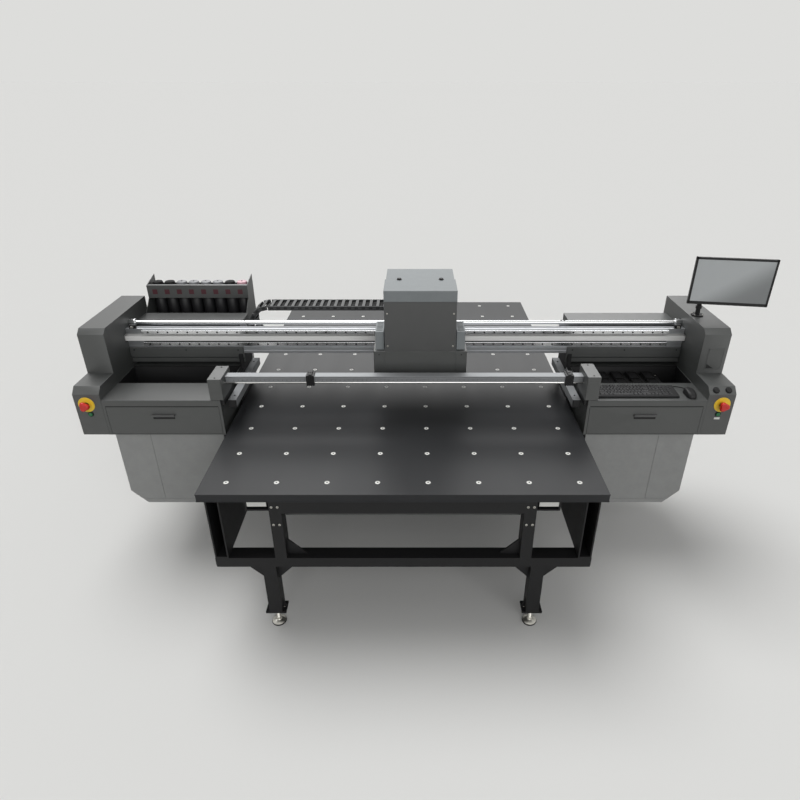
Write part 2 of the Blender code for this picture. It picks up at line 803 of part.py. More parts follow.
def make_cabinet(gantry, side):
    """The dark upper cabinet: a drawer space, an open well and a raised back."""
    wall = SHEET
    inner, outer = CABINET_INNER, CABINET_OUTER
    x = (side * inner, side * outer)
    room = (side * (inner + wall), side * (outer - wall))
    cabinet = add(
        f"cabinet_{side_name(side)}",
        block(x, (GANTRY_FRONT, CABINET_BACK), (CABINET_BOTTOM, SHELF_TOP)),
        "dark_grey_paint",
        gantry,
    )
    weld(cabinet, block(x, (TOWER_FRONT, CABINET_BACK), (SHELF_TOP - 0.01, TOWER_TOP)))
    floor = CABINET_BOTTOM + wall
    ceiling = SHELF_TOP - wall
    margin, drawer_low, drawer_high = DRAWER_OPENING
    middle = (inner + outer) / 2
    back = CABINET_BACK - wall
    cut(
        cabinet,
        block(room, (GANTRY_FRONT + wall, WELL_Y[0] - wall), (floor, ceiling)),
        block(
            (side * (inner + margin), side * (outer - margin)),
            (GANTRY_FRONT - 0.02, GANTRY_FRONT + 2 * wall),
            (drawer_low, drawer_high),
        ),
        block(room, WELL_Y, (WELL_FLOOR, SHELF_TOP + 0.02)),
        block(room, (WELL_Y[0], back), (floor, WELL_FLOOR - wall)),
        block(room, (WELL_Y[1] + wall, back), (floor, ceiling)),
        block(room, (TOWER_FRONT + wall, back), (floor, TOWER_TOP - wall)),
        block(
            (side * (middle - VENT[0] / 2), side * (middle + VENT[0] / 2)),
            (back - 0.02, CABINET_BACK + 0.02),
            (0.92, 0.92 + VENT[1]),
        ),
    )
    if side > 0:
        x, y, radius = GROMMET
        hole = [(-0.02, radius), (0.02, radius)]
        cut(cabinet, turned(hole, (x, y, SHELF_TOP), "Z", 12))


def make_lower_box(gantry, side):
    """The light-grey box that hangs under a cabinet, its outer bottom edge cut away."""
    inner = CABINET_INNER + LOWER_BOX_INSET
    outer = CABINET_OUTER - LOWER_BOX_INSET
    top = CABINET_BOTTOM - TOUCH
    y = (GANTRY_FRONT + LOWER_BOX_INSET, CABINET_BACK - LOWER_BOX_INSET)

    def outline(wall, top):
        low = LOWER_BOX_BOTTOM + wall
        corner = LOWER_BOX_CORNER - wall * (2 - math.sqrt(2))
        right = outer - wall
        points = [
            (inner + wall, low),
            (right - corner, low),
            (right, low + corner),
            (right, top),
            (inner + wall, top),
        ]
        return [(side * x, z) for x, z in points]

    box = add(
        f"lower_box_{side_name(side)}",
        prism(outline(0.0, top), *y, 1),
        "light_grey_paint",
        gantry,
    )
    cut(box, prism(outline(SHEET, top + 0.02), y[0] + SHEET, y[1] - SHEET, 1))


def make_drawer(gantry, side):
    margin, low, high = DRAWER_OPENING
    x = (
        side * (CABINET_INNER + margin + RUN),
        side * (CABINET_OUTER - margin - RUN),
    )
    low, high = low + RUN, high - RUN
    front, back = GANTRY_FRONT, GANTRY_FRONT + DRAWER_DEPTH
    body = group(f"drawer_{side_name(side)}_body", gantry, ((x[0] + x[1]) / 2, front, low))
    drawer = add(
        f"drawer_{side_name(side)}", block(x, (front, back), (low, high)), "dark_grey_paint", body
    )
    cut(
        drawer,
        block(
            (x[0] + side * SHEET, x[1] - side * SHEET),
            (front + SHEET, back - SHEET),
            (low + SHEET, high + 0.02),
        ),
    )
    width, reach, thick, under = HANDLE
    middle = (x[0] + x[1]) / 2
    weld(
        drawer,
        block(
            (middle - width / 2, middle + width / 2),
            (front - reach, front + SHEET / 2),
            (under, under + thick),
        ),
    )


def housing_outline(wall, bottom):
    """The side view of an end housing, drawn in by wall; bottom stays as given."""
    front = GANTRY_FRONT + wall
    step = GANTRY_FRONT + CONSOLE_DEPTH + wall
    slope = CONSOLE_CORNER - wall * (2 - math.sqrt(2))
    run, rise = HOUSING_CORNER
    draw = 1 - math.sqrt(2) / 2
    console_top = CONSOLE_TOP - wall
    top = HOUSING_TOP - wall
    return [
        (front, bottom),
        (front, console_top - slope),
        (front + slope, console_top),
        (step, console_top),
        (step, top - rise + wall * draw),
        (step + run - wall * draw, top),
        (HOUSING_BACK - wall, top),
        (HOUSING_BACK - wall, bottom),
    ]


def console_slope():
    """The middle of the console's sloping edge and the way it faces."""
    half = CONSOLE_CORNER / 2
    normal = Vector((0, -1, 1)).normalized()
    return GANTRY_FRONT + half, CONSOLE_TOP - half, normal


def black_button_places():
    y, z, normal = console_slope()
    middle = PULLEY_X
    return [(middle + n * BLACK_SPACING / 2, y, z) for n in (-1, 1)], normal


def make_end_housing(gantry, side):
    wall = HOUSING_WALL
    x = sorted((side * HOUSING_INNER, side * HOUSING_OUTER))
    housing = add(
        f"end_housing_{side_name(side)}",
        prism(housing_outline(0.0, CABINET_BOTTOM), *x, 0),
        "dark_grey_paint",
        gantry,
    )
    cut(
        housing,
        prism(housing_outline(wall, CABINET_BOTTOM - 0.02), x[0] + wall, x[1] - wall, 0),
    )
    weld(
        housing,
        block(
            (x[0] + wall / 2, x[1] - wall / 2),
            (X_PULLEY_Y - 0.08, X_PULLEY_Y + 0.08),
            (PULLEY_SHELF_Z, PULLEY_SHELF_Z + PULLEY_SHELF),
        ),
    )
    bore = [(-0.01, JOURNAL_RADIUS + RUN), (0.02, JOURNAL_RADIUS + RUN)]
    front_clear, edge_clear = BELT_WINDOW
    run = belt_inside(X_PULLEY_RADIUS) + X_BELT_THICK
    half = X_BELT_WIDTH / 2 + edge_clear
    face = side * HOUSING_INNER
    cut(
        housing,
        turned(bore, (side * PULLEY_X, X_PULLEY_Y, PULLEY_SHELF_Z), "Z", 16),
        block(
            (face - side * 0.01, face + side * 2 * wall),
            (X_PULLEY_Y - run - front_clear, X_PULLEY_Y + run + front_clear),
            (X_BELT_Z - half, X_BELT_Z + half),
        ),
    )
    for out, z, radius in ((ESTOP_OUT, ESTOP_Z, ESTOP_STEM_RADIUS), (0, GREEN_Z, GREEN_RADIUS)):
        hole = [(-0.02, radius + RUN), (0.02, radius + RUN)]
        cut(housing, turned(hole, (side * (PULLEY_X + out), GANTRY_FRONT, z), "Y", 16))
    if side > 0:
        places, normal = black_button_places()
        hole = [(-0.012, BLACK_RADIUS + RUN), (0.012, BLACK_RADIUS + RUN)]
        cut(housing, *(turned(hole, place, normal, 16) for place in places))


def make_controls(gantry):
    """Each button slides in its own hole through the wall of a console."""
    for side in (-1, 1):
        place = (side * (PULLEY_X + ESTOP_OUT), GANTRY_FRONT, ESTOP_Z)
        radius, length = ESTOP_HEAD
        body = group(f"emergency_stop_{side_name(side)}_body", gantry, place)
        profile = [
            (-ESTOP_STANDOFF - length, radius * 0.8),
            (-ESTOP_STANDOFF - length * 0.75, radius),
            (-ESTOP_STANDOFF - length * 0.4, radius),
            (-ESTOP_STANDOFF, radius * 0.7),
            (-ESTOP_STANDOFF, ESTOP_STEM_RADIUS),
            (HOUSING_WALL + 2 * ESTOP_TRAVEL, ESTOP_STEM_RADIUS),
        ]
        knob = turned(profile, place, "Y")
        smooth(add(f"emergency_stop_{side_name(side)}", knob, "red_plastic", body))
        place = (side * PULLEY_X, GANTRY_FRONT, GREEN_Z)
        body = group(f"start_button_{side_name(side)}_body", gantry, place)
        profile = [(-PUSH_PROUD, GREEN_RADIUS), (PUSH_LENGTH - PUSH_PROUD, GREEN_RADIUS)]
        button = turned(profile, place, "Y")
        smooth(add(f"start_button_{side_name(side)}", button, "green_plastic", body))
    places, normal = black_button_places()
    for place, name in zip(places, ("inner", "outer")):
        body = group(f"console_button_{name}_body", gantry, place)
        profile = [(PUSH_PROUD - PUSH_LENGTH, BLACK_RADIUS), (PUSH_PROUD, BLACK_RADIUS)]
        button = turned(profile, place, normal)
        smooth(add(f"console_button_{name}", button, "black_plastic", body))


# Static bar and its carriers


def make_static_bar(gantry):
    x = BLOCK_INNER - TOUCH
    bar = add("static_bar", block((-x, x), BAR_Y, BAR_Z), "bright_aluminium", gantry)
    length, proud = BAR_CLAMP
    for middle in BAR_CLAMP_X:
        weld(
            bar,
            block(
                (middle - length / 2, middle + length / 2),
                (BAR_Y[0] - proud, BAR_Y[1] + proud),
                (BAR_Z[0] - proud, BAR_Z[1] + proud),
            ),
        )
    for side in (-1, 1):
        add(
            f"bar_end_block_{side_name(side)}",
            block(
                (side * BLOCK_INNER, side * (BLOCK_INNER + BLOCK_WIDTH)),
                (GANTRY_FRONT, GANTRY_FRONT + BLOCK_DEPTH),
                (SHELF_TOP + TOUCH, BLOCK_TOP + (BLOCK_RAISE if side > 0 else 0)),
            ),
            "light_grey_paint",
            gantry,
        )
        outer = UPRIGHT_INNER - TOUCH
        add(
            f"side_bar_{side_name(side)}",
            block(
                (side * (outer - SIDE_BAR), side * outer),
                SIDE_BAR_Y,
                (SIDE_BAR_TOP - SIDE_BAR, SIDE_BAR_TOP),
            ),
            "bright_aluminium",
            gantry,
        )


# Carriage


def make_slide_plate(carriage_x):
    """The plate that rides on both rails, with its bearing blocks and the arm to the chain."""
    front, back = SLIDE_PLATE_Y
    low, high = SLIDE_PLATE_Z
    x = CARRIAGE_X
    plate = add(
        "slide_plate",
        block((x - SLIDE_PLATE_HALF, x + SLIDE_PLATE_HALF), (front, back), (low, high)),
        "bright_aluminium",
        carriage_x,
    )
    weld(
        plate,
        block(
            (x - SLIDE_ARM_LEFT, x + SLIDE_ARM_RIGHT),
            (front, CHAIN_Y[1]),
            (high - SLIDE_ARM, high),
        ),
    )
    length, height = SLIDE_BLOCK
    gap = 0.003  # from a bearing block to the beam
    for middle in (UPPER_RAIL_Z, LOWER_RAIL_Z):
        for side in (-1, 1):
            outer = x + side * SLIDE_PLATE_HALF
            weld(
                plate,
                block(
                    (outer - side * length, outer - side * 0.005),
                    (back - 0.005, BEAM_Y[0] - gap),
                    (middle - height / 2, middle + height / 2),
                ),
            )
        cut(
            plate,
            block(
                (x - 1, x + 1),
                (BEAM_Y[0] - RAIL_PROUD - RUN, BEAM_Y[0]),
                (middle - RAIL_HEIGHT / 2 - RUN, middle + RAIL_HEIGHT / 2 + RUN),
            ),
        )
    belt_face = X_PULLEY_Y - belt_inside(X_PULLEY_RADIUS) - X_BELT_THICK
    weld(
        plate,
        block(
            (x - 0.04, x + 0.04),
            (back - 0.005, belt_face - TOUCH),
            (X_BELT_Z - X_BELT_WIDTH / 2, X_BELT_Z + X_BELT_WIDTH / 2),
        ),
    )


def lamp_span(side):
    inner = HOOD_HALF + LAMP_FROM_HOOD
    return [CARRIAGE_X + side * (inner + n * LAMP_WIDTH) for n in (0, 1)]


def make_carriage(carriage_z):
    x, wall = CARRIAGE_X, HOUSING_WALL
    y = (CARRIAGE_FRONT, CARRIAGE_BACK)
    room_y = (y[0] + wall, y[1] - wall)
    low, high = SKIRT_Z
    skirt = add(
        "carriage_skirt",
        block((x - SKIRT_HALF, x + SKIRT_HALF), y, (low, high)),
        "dark_grey_paint",
        carriage_z,
    )
    inner = SKIRT_HALF - wall
    neck = HOOD_HALF - 2 * wall
    cut(
        skirt,
        block((x - inner, x + inner), room_y, (low - 0.02, high - wall)),
        block((x - neck, x + neck), (y[0] + 2 * wall, y[1] - 2 * wall), (high - 0.02, high + 0.02)),
    )
    for side in (-1, 1):
        span = lamp_span(side)
        cut(
            skirt,
            block(
                (span[0] - side * TOUCH, span[1] + side * TOUCH),
                (LAMP_Y[0] - TOUCH, LAMP_Y[1] + TOUCH),
                (high - 0.02, high + 0.02),
            ),
        )
        add(
            f"uv_lamp_{side_name(side)}",
            block(span, LAMP_Y, LAMP_Z),
            "light_grey_paint",
            carriage_z,
        )
    outline = [
        (y[0], high + TOUCH),
        (y[0], HOOD_TOP),
        (HOOD_BACK, HOOD_TOP),
        (HOOD_BACK, HOOD_BACK_BOTTOM),
        (y[1], HOOD_BACK_BOTTOM),
        (y[1], high + TOUCH),
    ]
    room = [
        (y[0] + wall, high - 0.02),
        (y[0] + wall, HOOD_TOP - wall),
        (HOOD_BACK - wall, HOOD_TOP - wall),
        (HOOD_BACK - wall, HOOD_BACK_BOTTOM + wall),
        (y[1] - wall, HOOD_BACK_BOTTOM + wall),
        (y[1] - wall, high - 0.02),
    ]
    hood = add(
        "carriage_hood",
        prism(outline, x - HOOD_HALF, x + HOOD_HALF, 0),
        "light_grey_paint",
        carriage_z,
    )
    cut(hood, prism(room, x - HOOD_HALF + wall, x + HOOD_HALF - wall, 0))
    make_heads(carriage_z, room_y)


def make_heads(carriage_z, room_y):
    bottom, thick = HEAD_PLATE
    half = HOOD_HALF
    plate = add(
        "print_head_plate",
        block(
            (CARRIAGE_X - half, CARRIAGE_X + half),
            (room_y[0] + TOUCH, room_y[1] - TOUCH),
            (bottom, bottom + thick),
        ),
        "bright_aluminium",
        carriage_z,
    )
    middle_y = (room_y[0] + room_y[1]) / 2
    columns, rows = HEAD_GRID
    width, depth, height = HEAD_SIZE
    for column in range(columns):
        for row in range(rows):
            x = CARRIAGE_X + (column - (columns - 1) / 2) * HEAD_PITCH[0]
            y = middle_y + (row - (rows - 1) / 2) * HEAD_PITCH[1]
            weld(
                plate,
                block(
                    (x - width / 2, x + width / 2),
                    (y - depth / 2, y + depth / 2),
                    (bottom - HEAD_DROP, bottom - HEAD_DROP + height),
                ),
            )


def make_chain(gantry):
    """The chain lies on the beam's shelf, bends over at its left end and comes back above."""
    half = CHAIN_THICK / 2
    centre_x = CHAIN_LEFT + CHAIN_RADIUS + half
    centre_z = CHAIN_LOWER_Z + half + CHAIN_RADIUS
    upper_end = CARRIAGE_X - SLIDE_ARM_LEFT - TOUCH
    steps = 12
    outline = []
    for radius, order in ((CHAIN_RADIUS + half, 1), (CHAIN_RADIUS - half, -1)):
        arc = []
        for n in range(steps + 1):
            angle = math.pi / 2 + math.pi * n / steps
            arc.append(
                (centre_x + radius * math.cos(angle), centre_z + radius * math.sin(angle))
            )
        stretch = [(upper_end, centre_z + radius), *arc, (CHAIN_FIXED_END, centre_z - radius)]
        outline += stretch[::order]
    add("energy_chain", prism(outline, *CHAIN_Y, 1), "black_plastic", gantry)


def make_capping_station(gantry):
    width, depth = CAPPING_SIZE
    middle_y = (WELL_Y[0] + WELL_Y[1]) / 2
    floor = WELL_FLOOR + TOUCH
    top = floor + CAPPING_BASE
    body = group("capping_station_body", gantry, (CAPPING_X, middle_y, floor))
    station = add(
        "capping_station",
        block(
            (CAPPING_X - width / 2, CAPPING_X + width / 2),
            (middle_y - depth / 2, middle_y + depth / 2),
            (floor, top),
        ),
        "black_plastic",
        body,
    )
    columns, rows = HEAD_GRID
    cap_x, cap_y, cap_z = CAP_SIZE
    for column in range(columns):
        for row in range(rows):
            x = CAPPING_X + (column - (columns - 1) / 2) * HEAD_PITCH[0]
            y = middle_y + (row - (rows - 1) / 2) * HEAD_PITCH[1]
            weld(
                station,
                block(
                    (x - cap_x / 2, x + cap_x / 2),
                    (y - cap_y / 2, y + cap_y / 2),
                    (top - 0.01, top + cap_z),
                ),
            )


# Ink supply


def make_ink_supply(gantry):
    left, right = RACK_X
    front = CABINET_BACK + TOUCH
    floor_top = RACK_FLOOR + SHEET
    rack = add(
        "ink_rack",
        block((left, right), (front, RACK_BACK), (RACK_FLOOR, floor_top)),
        "light_grey_paint",
        gantry,
    )
    # The cheeks rise towards the back
    cheek = [
        (front, RACK_FLOOR),
        (RACK_BACK, RACK_FLOOR),
        (RACK_BACK, RACK_CHEEK_TOP),
        (RACK_FLANGE_Y, RACK_TOP),
        (RACK_FLANGE_Y, RACK_FLANGE_BOTTOM),
        (front, RACK_FLANGE_BOTTOM - 0.08),
    ]
    weld(
        rack,
        prism(cheek, left, left + SHEET, 0),
        prism(cheek, right - SHEET, right, 0),
        block(
            (left + SHEET / 2, right - SHEET / 2),
            (RACK_FLANGE_Y, RACK_FLANGE_Y + SHEET),
            (RACK_FLANGE_BOTTOM, RACK_TOP),
        ),
    )
    width, depth, thick = BOTTLE_TRAY
    middle = (left + right) / 2
    tray_low = floor_top + TOUCH
    half = min(width, right - left - 2 * SHEET - 2 * RUN) / 2
    tray = add(
        "ink_bottles",
        block(
            (middle - half, middle + half),
            (BOTTLE_Y - depth / 2, BOTTLE_Y + depth / 2),
            (tray_low, tray_low + thick),
        ),
        "black_plastic",
        gantry,
    )
    cap_radius, cap_low, cap_high = BOTTLE_CAP
    profile = [
        (tray_low + thick / 2, BOTTLE_RADIUS),
        (BOTTLE_SHOULDER, BOTTLE_RADIUS),
        (cap_low, cap_radius * 0.8),
        (cap_low, cap_radius),
        (cap_high, cap_radius),
    ]
    for n in range(BOTTLES):
        x = middle + (n - (BOTTLES - 1) / 2) * BOTTLE_PITCH
        weld(tray, turned(profile, (x, BOTTLE_Y, 0), "Z", 14))


# Screen, keyboard and mouse


def make_screen(gantry):
    arm_body = group("monitor_arm_body", gantry, (POLE_X, POLE_Y, HOUSING_TOP))
    radius, thick = POLE_FLANGE
    width, depth, height = SCREEN_SIZE
    centre = Vector(SCREEN_CENTRE)
    turn = Matrix.Rotation(SCREEN_YAW, 3, "Z")
    back_middle = centre + turn @ Vector((0, depth / 2, 0))
    base = HOUSING_TOP + TOUCH
    top = centre.z + ARM_HEIGHT / 2
    profile = [
        (base, radius),
        (base + thick, radius),
        (base + thick, POLE_RADIUS),
        (top, POLE_RADIUS),
    ]
    arm = add(
        "monitor_arm", turned(profile, (POLE_X, POLE_Y, 0), "Z"), "black_powder_coat", arm_body
    )
    # The arm runs behind the screen, and a barrel at its end carries the screen's boss
    end = back_middle + turn @ Vector((0, ARM_BEHIND, 0))
    start = Vector((POLE_X, POLE_Y, centre.z))
    reach = end - start
    across = Vector((-reach.y, reach.x, 0)).normalized() * ARM_HEIGHT / 2
    plan = [start + across, start - across, end - across, end + across]
    weld(arm, prism([(p.x, p.y) for p in plan], centre.z - ARM_HEIGHT / 2, top, 2))
    to_screen = Matrix.Translation(centre) @ turn.to_4x4()
    half = ARM_HEIGHT / 2
    pivot = depth / 2 + BOSS + half
    stub = block((-half, half), (pivot, depth / 2 + ARM_BEHIND + half), (-half, half))
    barrel = turned([(-half, half), (half, half)], (0, pivot, 0), "X", 16)
    for shape in (stub, barrel):
        bmesh.ops.transform(shape, matrix=to_screen, verts=shape.verts)
    weld(arm, stub, barrel)
    screen_body = group("monitor_body", arm_body, centre + turn @ Vector((0, pivot, 0)))
    screen = block(*((-size / 2, size / 2) for size in SCREEN_SIZE))
    bmesh.ops.transform(screen, matrix=to_screen, verts=screen.verts)
    panel = add("monitor", screen, "black_plastic", screen_body)
    # The boss on its back, which the arm holds
    boss = block((-0.05, 0.05), (depth / 2 - BOSS, depth / 2 + BOSS - TOUCH), (-0.05, 0.05))
    bmesh.ops.transform(boss, matrix=to_screen, verts=boss.verts)
    weld(panel, boss)


def make_desk_things(gantry):
    surface = SHELF_TOP + TOUCH
    for name, size, centre in (
        ("keyboard", KEYBOARD, KEYBOARD_CENTRE),
        ("mouse", MOUSE, MOUSE_CENTRE),
    ):
        x, y = centre
        obj = add(
            name,
            block(
                (x - size[0] / 2, x + size[0] / 2),
                (y - size[1] / 2, y + size[1] / 2),
                (surface, surface + size[2]),
            ),
            "black_plastic",
            gantry,
        )
        bevel = obj.modifiers.new("rounding", "BEVEL")
        bevel.width = size[2] * 0.3
        bevel.segments = 2
    make_mouse_cord(gantry)


def make_mouse_cord(gantry):
    curve = bpy.data.curves.new("mouse_cord", "CURVE")
    curve.dimensions = "3D"
    curve.bevel_depth = MOUSE_CORD_RADIUS
    curve.bevel_resolution = 2
    curve.use_fill_caps = True
    spline = curve.splines.new("POLY")
    points = flowing(MOUSE_CORD, 3)
    spline.points.add(len(points) - 1)
    for point, place in zip(spline.points, points):
        point.co = (*place, 1.0)
    curve.materials.append(palette["black_plastic"])
    cord = bpy.data.objects.new("mouse_cord", curve)
    bpy.context.scene.collection.objects.link(cord)
    cord.parent = gantry
    cord.location = -machine_place(gantry)


def flowing(points, steps):
    """Points along a Catmull-Rom curve through the given ones."""
    places = [Vector(p) for p in points]
    padded = [2 * places[0] - places[1], *places, 2 * places[-1] - places[-2]]
    found = []
    for a, b, c, d in zip(padded, padded[1:], padded[2:], padded[3:]):
        for n in range(steps):
            t = n / steps
            found.append(
                0.5
                * (
                    2 * b
                    + (c - a) * t
                    + (2 * a - 5 * b + 4 * c - d) * t * t
                    + (3 * b - 3 * c + d - a) * t * t * t
                )
            )
    return [*found, places[-1]]


def stand_on_origin(root):
    """Moves the machine so that its outer box stands on the origin, centred in X and Y."""
    bpy.context.view_layer.update()
    corners = [
        obj.matrix_world @ Vector(corner)
        for obj in bpy.data.objects
        if obj.type in ("MESH", "CURVE") and not obj.hide_render
        for corner in obj.bound_box
    ]
    low = [min(corner[axis] for corner in corners) for axis in range(3)]
    high = [max(corner[axis] for corner in corners) for axis in range(3)]
    root.location = (-(low[0] + high[0]) / 2, -(low[1] + high[1]) / 2, -low[2])
    print("machine moved by", [round(v, 6) for v in root.location])


def main():
    clear_scene()
    mix_paints()
    root = group("printer")
    base = group("base", root)
    gantry = group("gantry", root)
    make_bed(base)
    make_end_frame(
        "end_frame_front",
        base,
        -1,
        BED_UNDER - TOUCH - FRONT_CROSS_HEIGHT,
        FRONT_CROSS_HEIGHT,
        JOURNAL_RADIUS,
    )
    make_end_frame("end_frame_rear", base, 1, REAR_CROSS_Z, TUBE, DRIVE_SHAFT_RADIUS)
    make_side_beams(base)
    make_feet(base)
    make_bed_drive(base)
    make_uprights(gantry)
    make_lower_tie(gantry)
    make_beam(gantry)
    make_rear_rod(gantry)
    make_carriage_drive(gantry)
    for side in (-1, 1):
        make_cabinet(gantry, side)
        make_lower_box(gantry, side)
        make_drawer(gantry, side)
        make_end_housing(gantry, side)
    make_controls(gantry)
    make_static_bar(gantry)
    carriage_x = group("carriage_slide", gantry, (CARRIAGE_X, BEAM_Y[0], X_BELT_Z))
    carriage_z = group("carriage", carriage_x, (CARRIAGE_X, CARRIAGE_BACK, SKIRT_Z[0]))
    make_slide_plate(carriage_x)
    make_carriage(carriage_z)
    make_chain(gantry)
    make_capping_station(gantry)
    make_ink_supply(gantry)
    make_screen(gantry)
    make_desk_things(gantry)
    stand_on_origin(root)


main()
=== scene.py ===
"""Finishes and fittings of a flatbed UV printer, drawn round its CAD frame.

Metres. Pieces are drawn in the machine's own frame, whose X starts at the middle of the
bed, and place() then moves them to the packed frame.
"""

import json
import math
from typing import NamedTuple

import bmesh
import bpy
from bpy.props import FloatProperty, FloatVectorProperty, IntProperty, PointerProperty
from mathutils import Matrix, Vector

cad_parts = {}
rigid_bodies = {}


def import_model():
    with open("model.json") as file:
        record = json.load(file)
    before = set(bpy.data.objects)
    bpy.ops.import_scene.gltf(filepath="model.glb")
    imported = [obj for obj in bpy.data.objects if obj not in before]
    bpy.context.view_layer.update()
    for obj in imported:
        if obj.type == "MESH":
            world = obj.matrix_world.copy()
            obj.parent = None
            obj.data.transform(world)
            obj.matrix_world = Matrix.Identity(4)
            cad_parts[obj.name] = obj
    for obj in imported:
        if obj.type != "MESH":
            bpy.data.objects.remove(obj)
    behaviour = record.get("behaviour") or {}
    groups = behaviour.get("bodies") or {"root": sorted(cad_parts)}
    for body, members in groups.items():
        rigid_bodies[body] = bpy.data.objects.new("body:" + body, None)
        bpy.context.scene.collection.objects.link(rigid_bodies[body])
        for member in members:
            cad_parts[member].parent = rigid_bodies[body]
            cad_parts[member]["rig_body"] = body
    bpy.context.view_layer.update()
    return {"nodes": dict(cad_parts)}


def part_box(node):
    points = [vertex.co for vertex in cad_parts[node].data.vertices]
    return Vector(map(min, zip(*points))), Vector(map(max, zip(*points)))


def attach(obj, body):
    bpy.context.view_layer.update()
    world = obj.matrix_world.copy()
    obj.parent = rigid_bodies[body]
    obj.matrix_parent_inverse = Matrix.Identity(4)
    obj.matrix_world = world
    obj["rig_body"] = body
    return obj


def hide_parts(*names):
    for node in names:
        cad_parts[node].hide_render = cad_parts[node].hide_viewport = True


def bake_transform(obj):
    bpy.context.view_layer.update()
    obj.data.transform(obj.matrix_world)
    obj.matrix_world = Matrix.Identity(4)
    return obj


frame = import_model()

bl_info = {
    "name": "Flatbed UV Printer",
    "version": (1, 0, 0),
    "blender": (4, 5, 0),
    "location": "View3D > Sidebar > Printer",
    "description": "Draws the finishes and fittings of a flatbed UV printer",
    "category": "Add Mesh",
}

BED_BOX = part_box("bed")
MIDDLE_X = (BED_BOX[0].x + BED_BOX[1].x) / 2

# Places of the CAD solids, in the machine's own frame. Spans run from low to high
GANTRY_FRONT = -0.765
HOUSING_OUTER = 1.85
CONSOLE_MIDDLE = 1.775
BEAM_FRONT = -0.306
CARRIAGE_X = 0.09
CARRIAGE_FRONT = -0.578
CARRIAGE_BACK = -0.3453
HOOD_HALF = 0.202
CABINET_MIDDLE = 1.365
STOP_HEIGHT, START_HEIGHT = 1.065, 1.005
RAIL_HEIGHTS = {"upper": 1.323, "lower": 1.246}
END_Y, POST_X = 1.34, 0.70
ROLLER_X, ROLLER_HEIGHT = 0.72, 0.85
ROD_Y, ROD_HEIGHT = -0.235, 1.354
HEAD_PITCH_X, HEAD_PITCH_Y = 0.095, 0.105
BOTTLE_PITCH, BOTTLES = 0.08, 8
BOTTLE_Y = 0.165
SCREEN_CENTRE, SCREEN_TURN = (1.862, -0.395, 1.660), -9
POLE_X, POLE_Y = 1.745, -0.32
SIDES = ((-1, "left"), (1, "right"))
ENDS = ((-1, "front"), (1, "rear"))
FORWARD, BACKWARD = (0, -1, 0), (0, 1, 0)

# The camera stands in front and above, level from side to side. Its tilt is in degrees
CAMERA_SPOT = (0.060, -3.719, 2.686)
CAMERA_TILT = 61.7
LENS_MM, SENSOR_MM, LENS_SHIFT = 27.0, 36.0, -0.01875
FLOOR_REACH = 400.0
LIT_POINT = (0.0, 0.0, 0.9)
# Wide diffusers overhead and in front, and a softbox behind that only the gloss takes
LIGHTS = (
    ("overhead_diffuser", "SUN", (-1.2, 1.4, 5.0), 1.9, {"angle": math.radians(42.0)}),
    ("front_diffuser", "SUN", (1.0, -4.0, 2.6), 1.1, {"angle": math.radians(60.0)}),
    (
        "softbox_behind", "AREA", (0.2, 5.2, 4.7), 260.0,
        {"shape": "RECTANGLE", "size": 8.0, "size_y": 3.0},
    ),
)

MOUSE_CORD = [
    (1.622, -0.6437, 1.1010),
    (1.622, -0.632, 1.1000),
    (1.6195, -0.621, 1.0965),
    (1.612, -0.611, 1.0945),
    (1.600, -0.603, 1.0942),
    (1.583, -0.5975, 1.0942),
    (1.563, -0.5945, 1.0942),
    (1.542, -0.5935, 1.0942),
    (1.522, -0.5935, 1.0942),
    (1.502, -0.5935, 1.0945),
    (1.486, -0.593, 1.0975),
    (1.474, -0.5928, 1.1010),
    (1.464, -0.5925, 1.1000),
    (1.4585, -0.5925, 1.0935),
    (1.457, -0.5925, 1.0850),
    (1.457, -0.5925, 1.0720),
]


def linear(code):
    """The linear colour of an sRGB hex code."""
    found = []
    for start in (1, 3, 5):
        value = int(code[start : start + 2], 16) / 255
        found.append(value / 12.92 if value <= 0.04045 else ((value + 0.055) / 1.055) ** 2.4)
    return tuple(found)


def colour(name, description, code):
    return FloatVectorProperty(
        name=name,
        description=description,
        default=linear(code),
        size=3,
        min=0.0,
        max=1.0,
        subtype="COLOR",
    )


def length(name, description, default):
    return FloatProperty(name=name, description=description, default=default, unit="LENGTH")


class PrinterSizes(bpy.types.PropertyGroup):
    """The sizes of the fittings that a user would change"""

    fold: length("Fold radius", "Outside radius of the folded covers' edges", 0.003)
    machined_edge: length("Machined edge", "Chamfer on machined and extruded edges", 0.001)
    insert_radius: length("Insert radius", "Radius of a suction insert in the bed", 0.013)
    insert_pitch_x: length("Insert pitch across", "Distance between inserts across the bed", 0.25)
    insert_pitch_y: length("Insert pitch along", "Distance between inserts along the bed", 0.26)
    rail_pitch: length("Rail bolt pitch", "Distance between the bolts of a linear rail", 0.06)
    chain_pitch: length("Chain pitch", "Length of one link of the energy chain", 0.045)
    key_pitch: length("Key pitch", "Distance between the middles of two keys", 0.01905)
    disc_radius: length("Stop disc radius", "Radius of the disc behind an emergency stop", 0.046)
    slats: IntProperty(name="Vent slats", description="Slats in each rear vent", default=8, min=2)


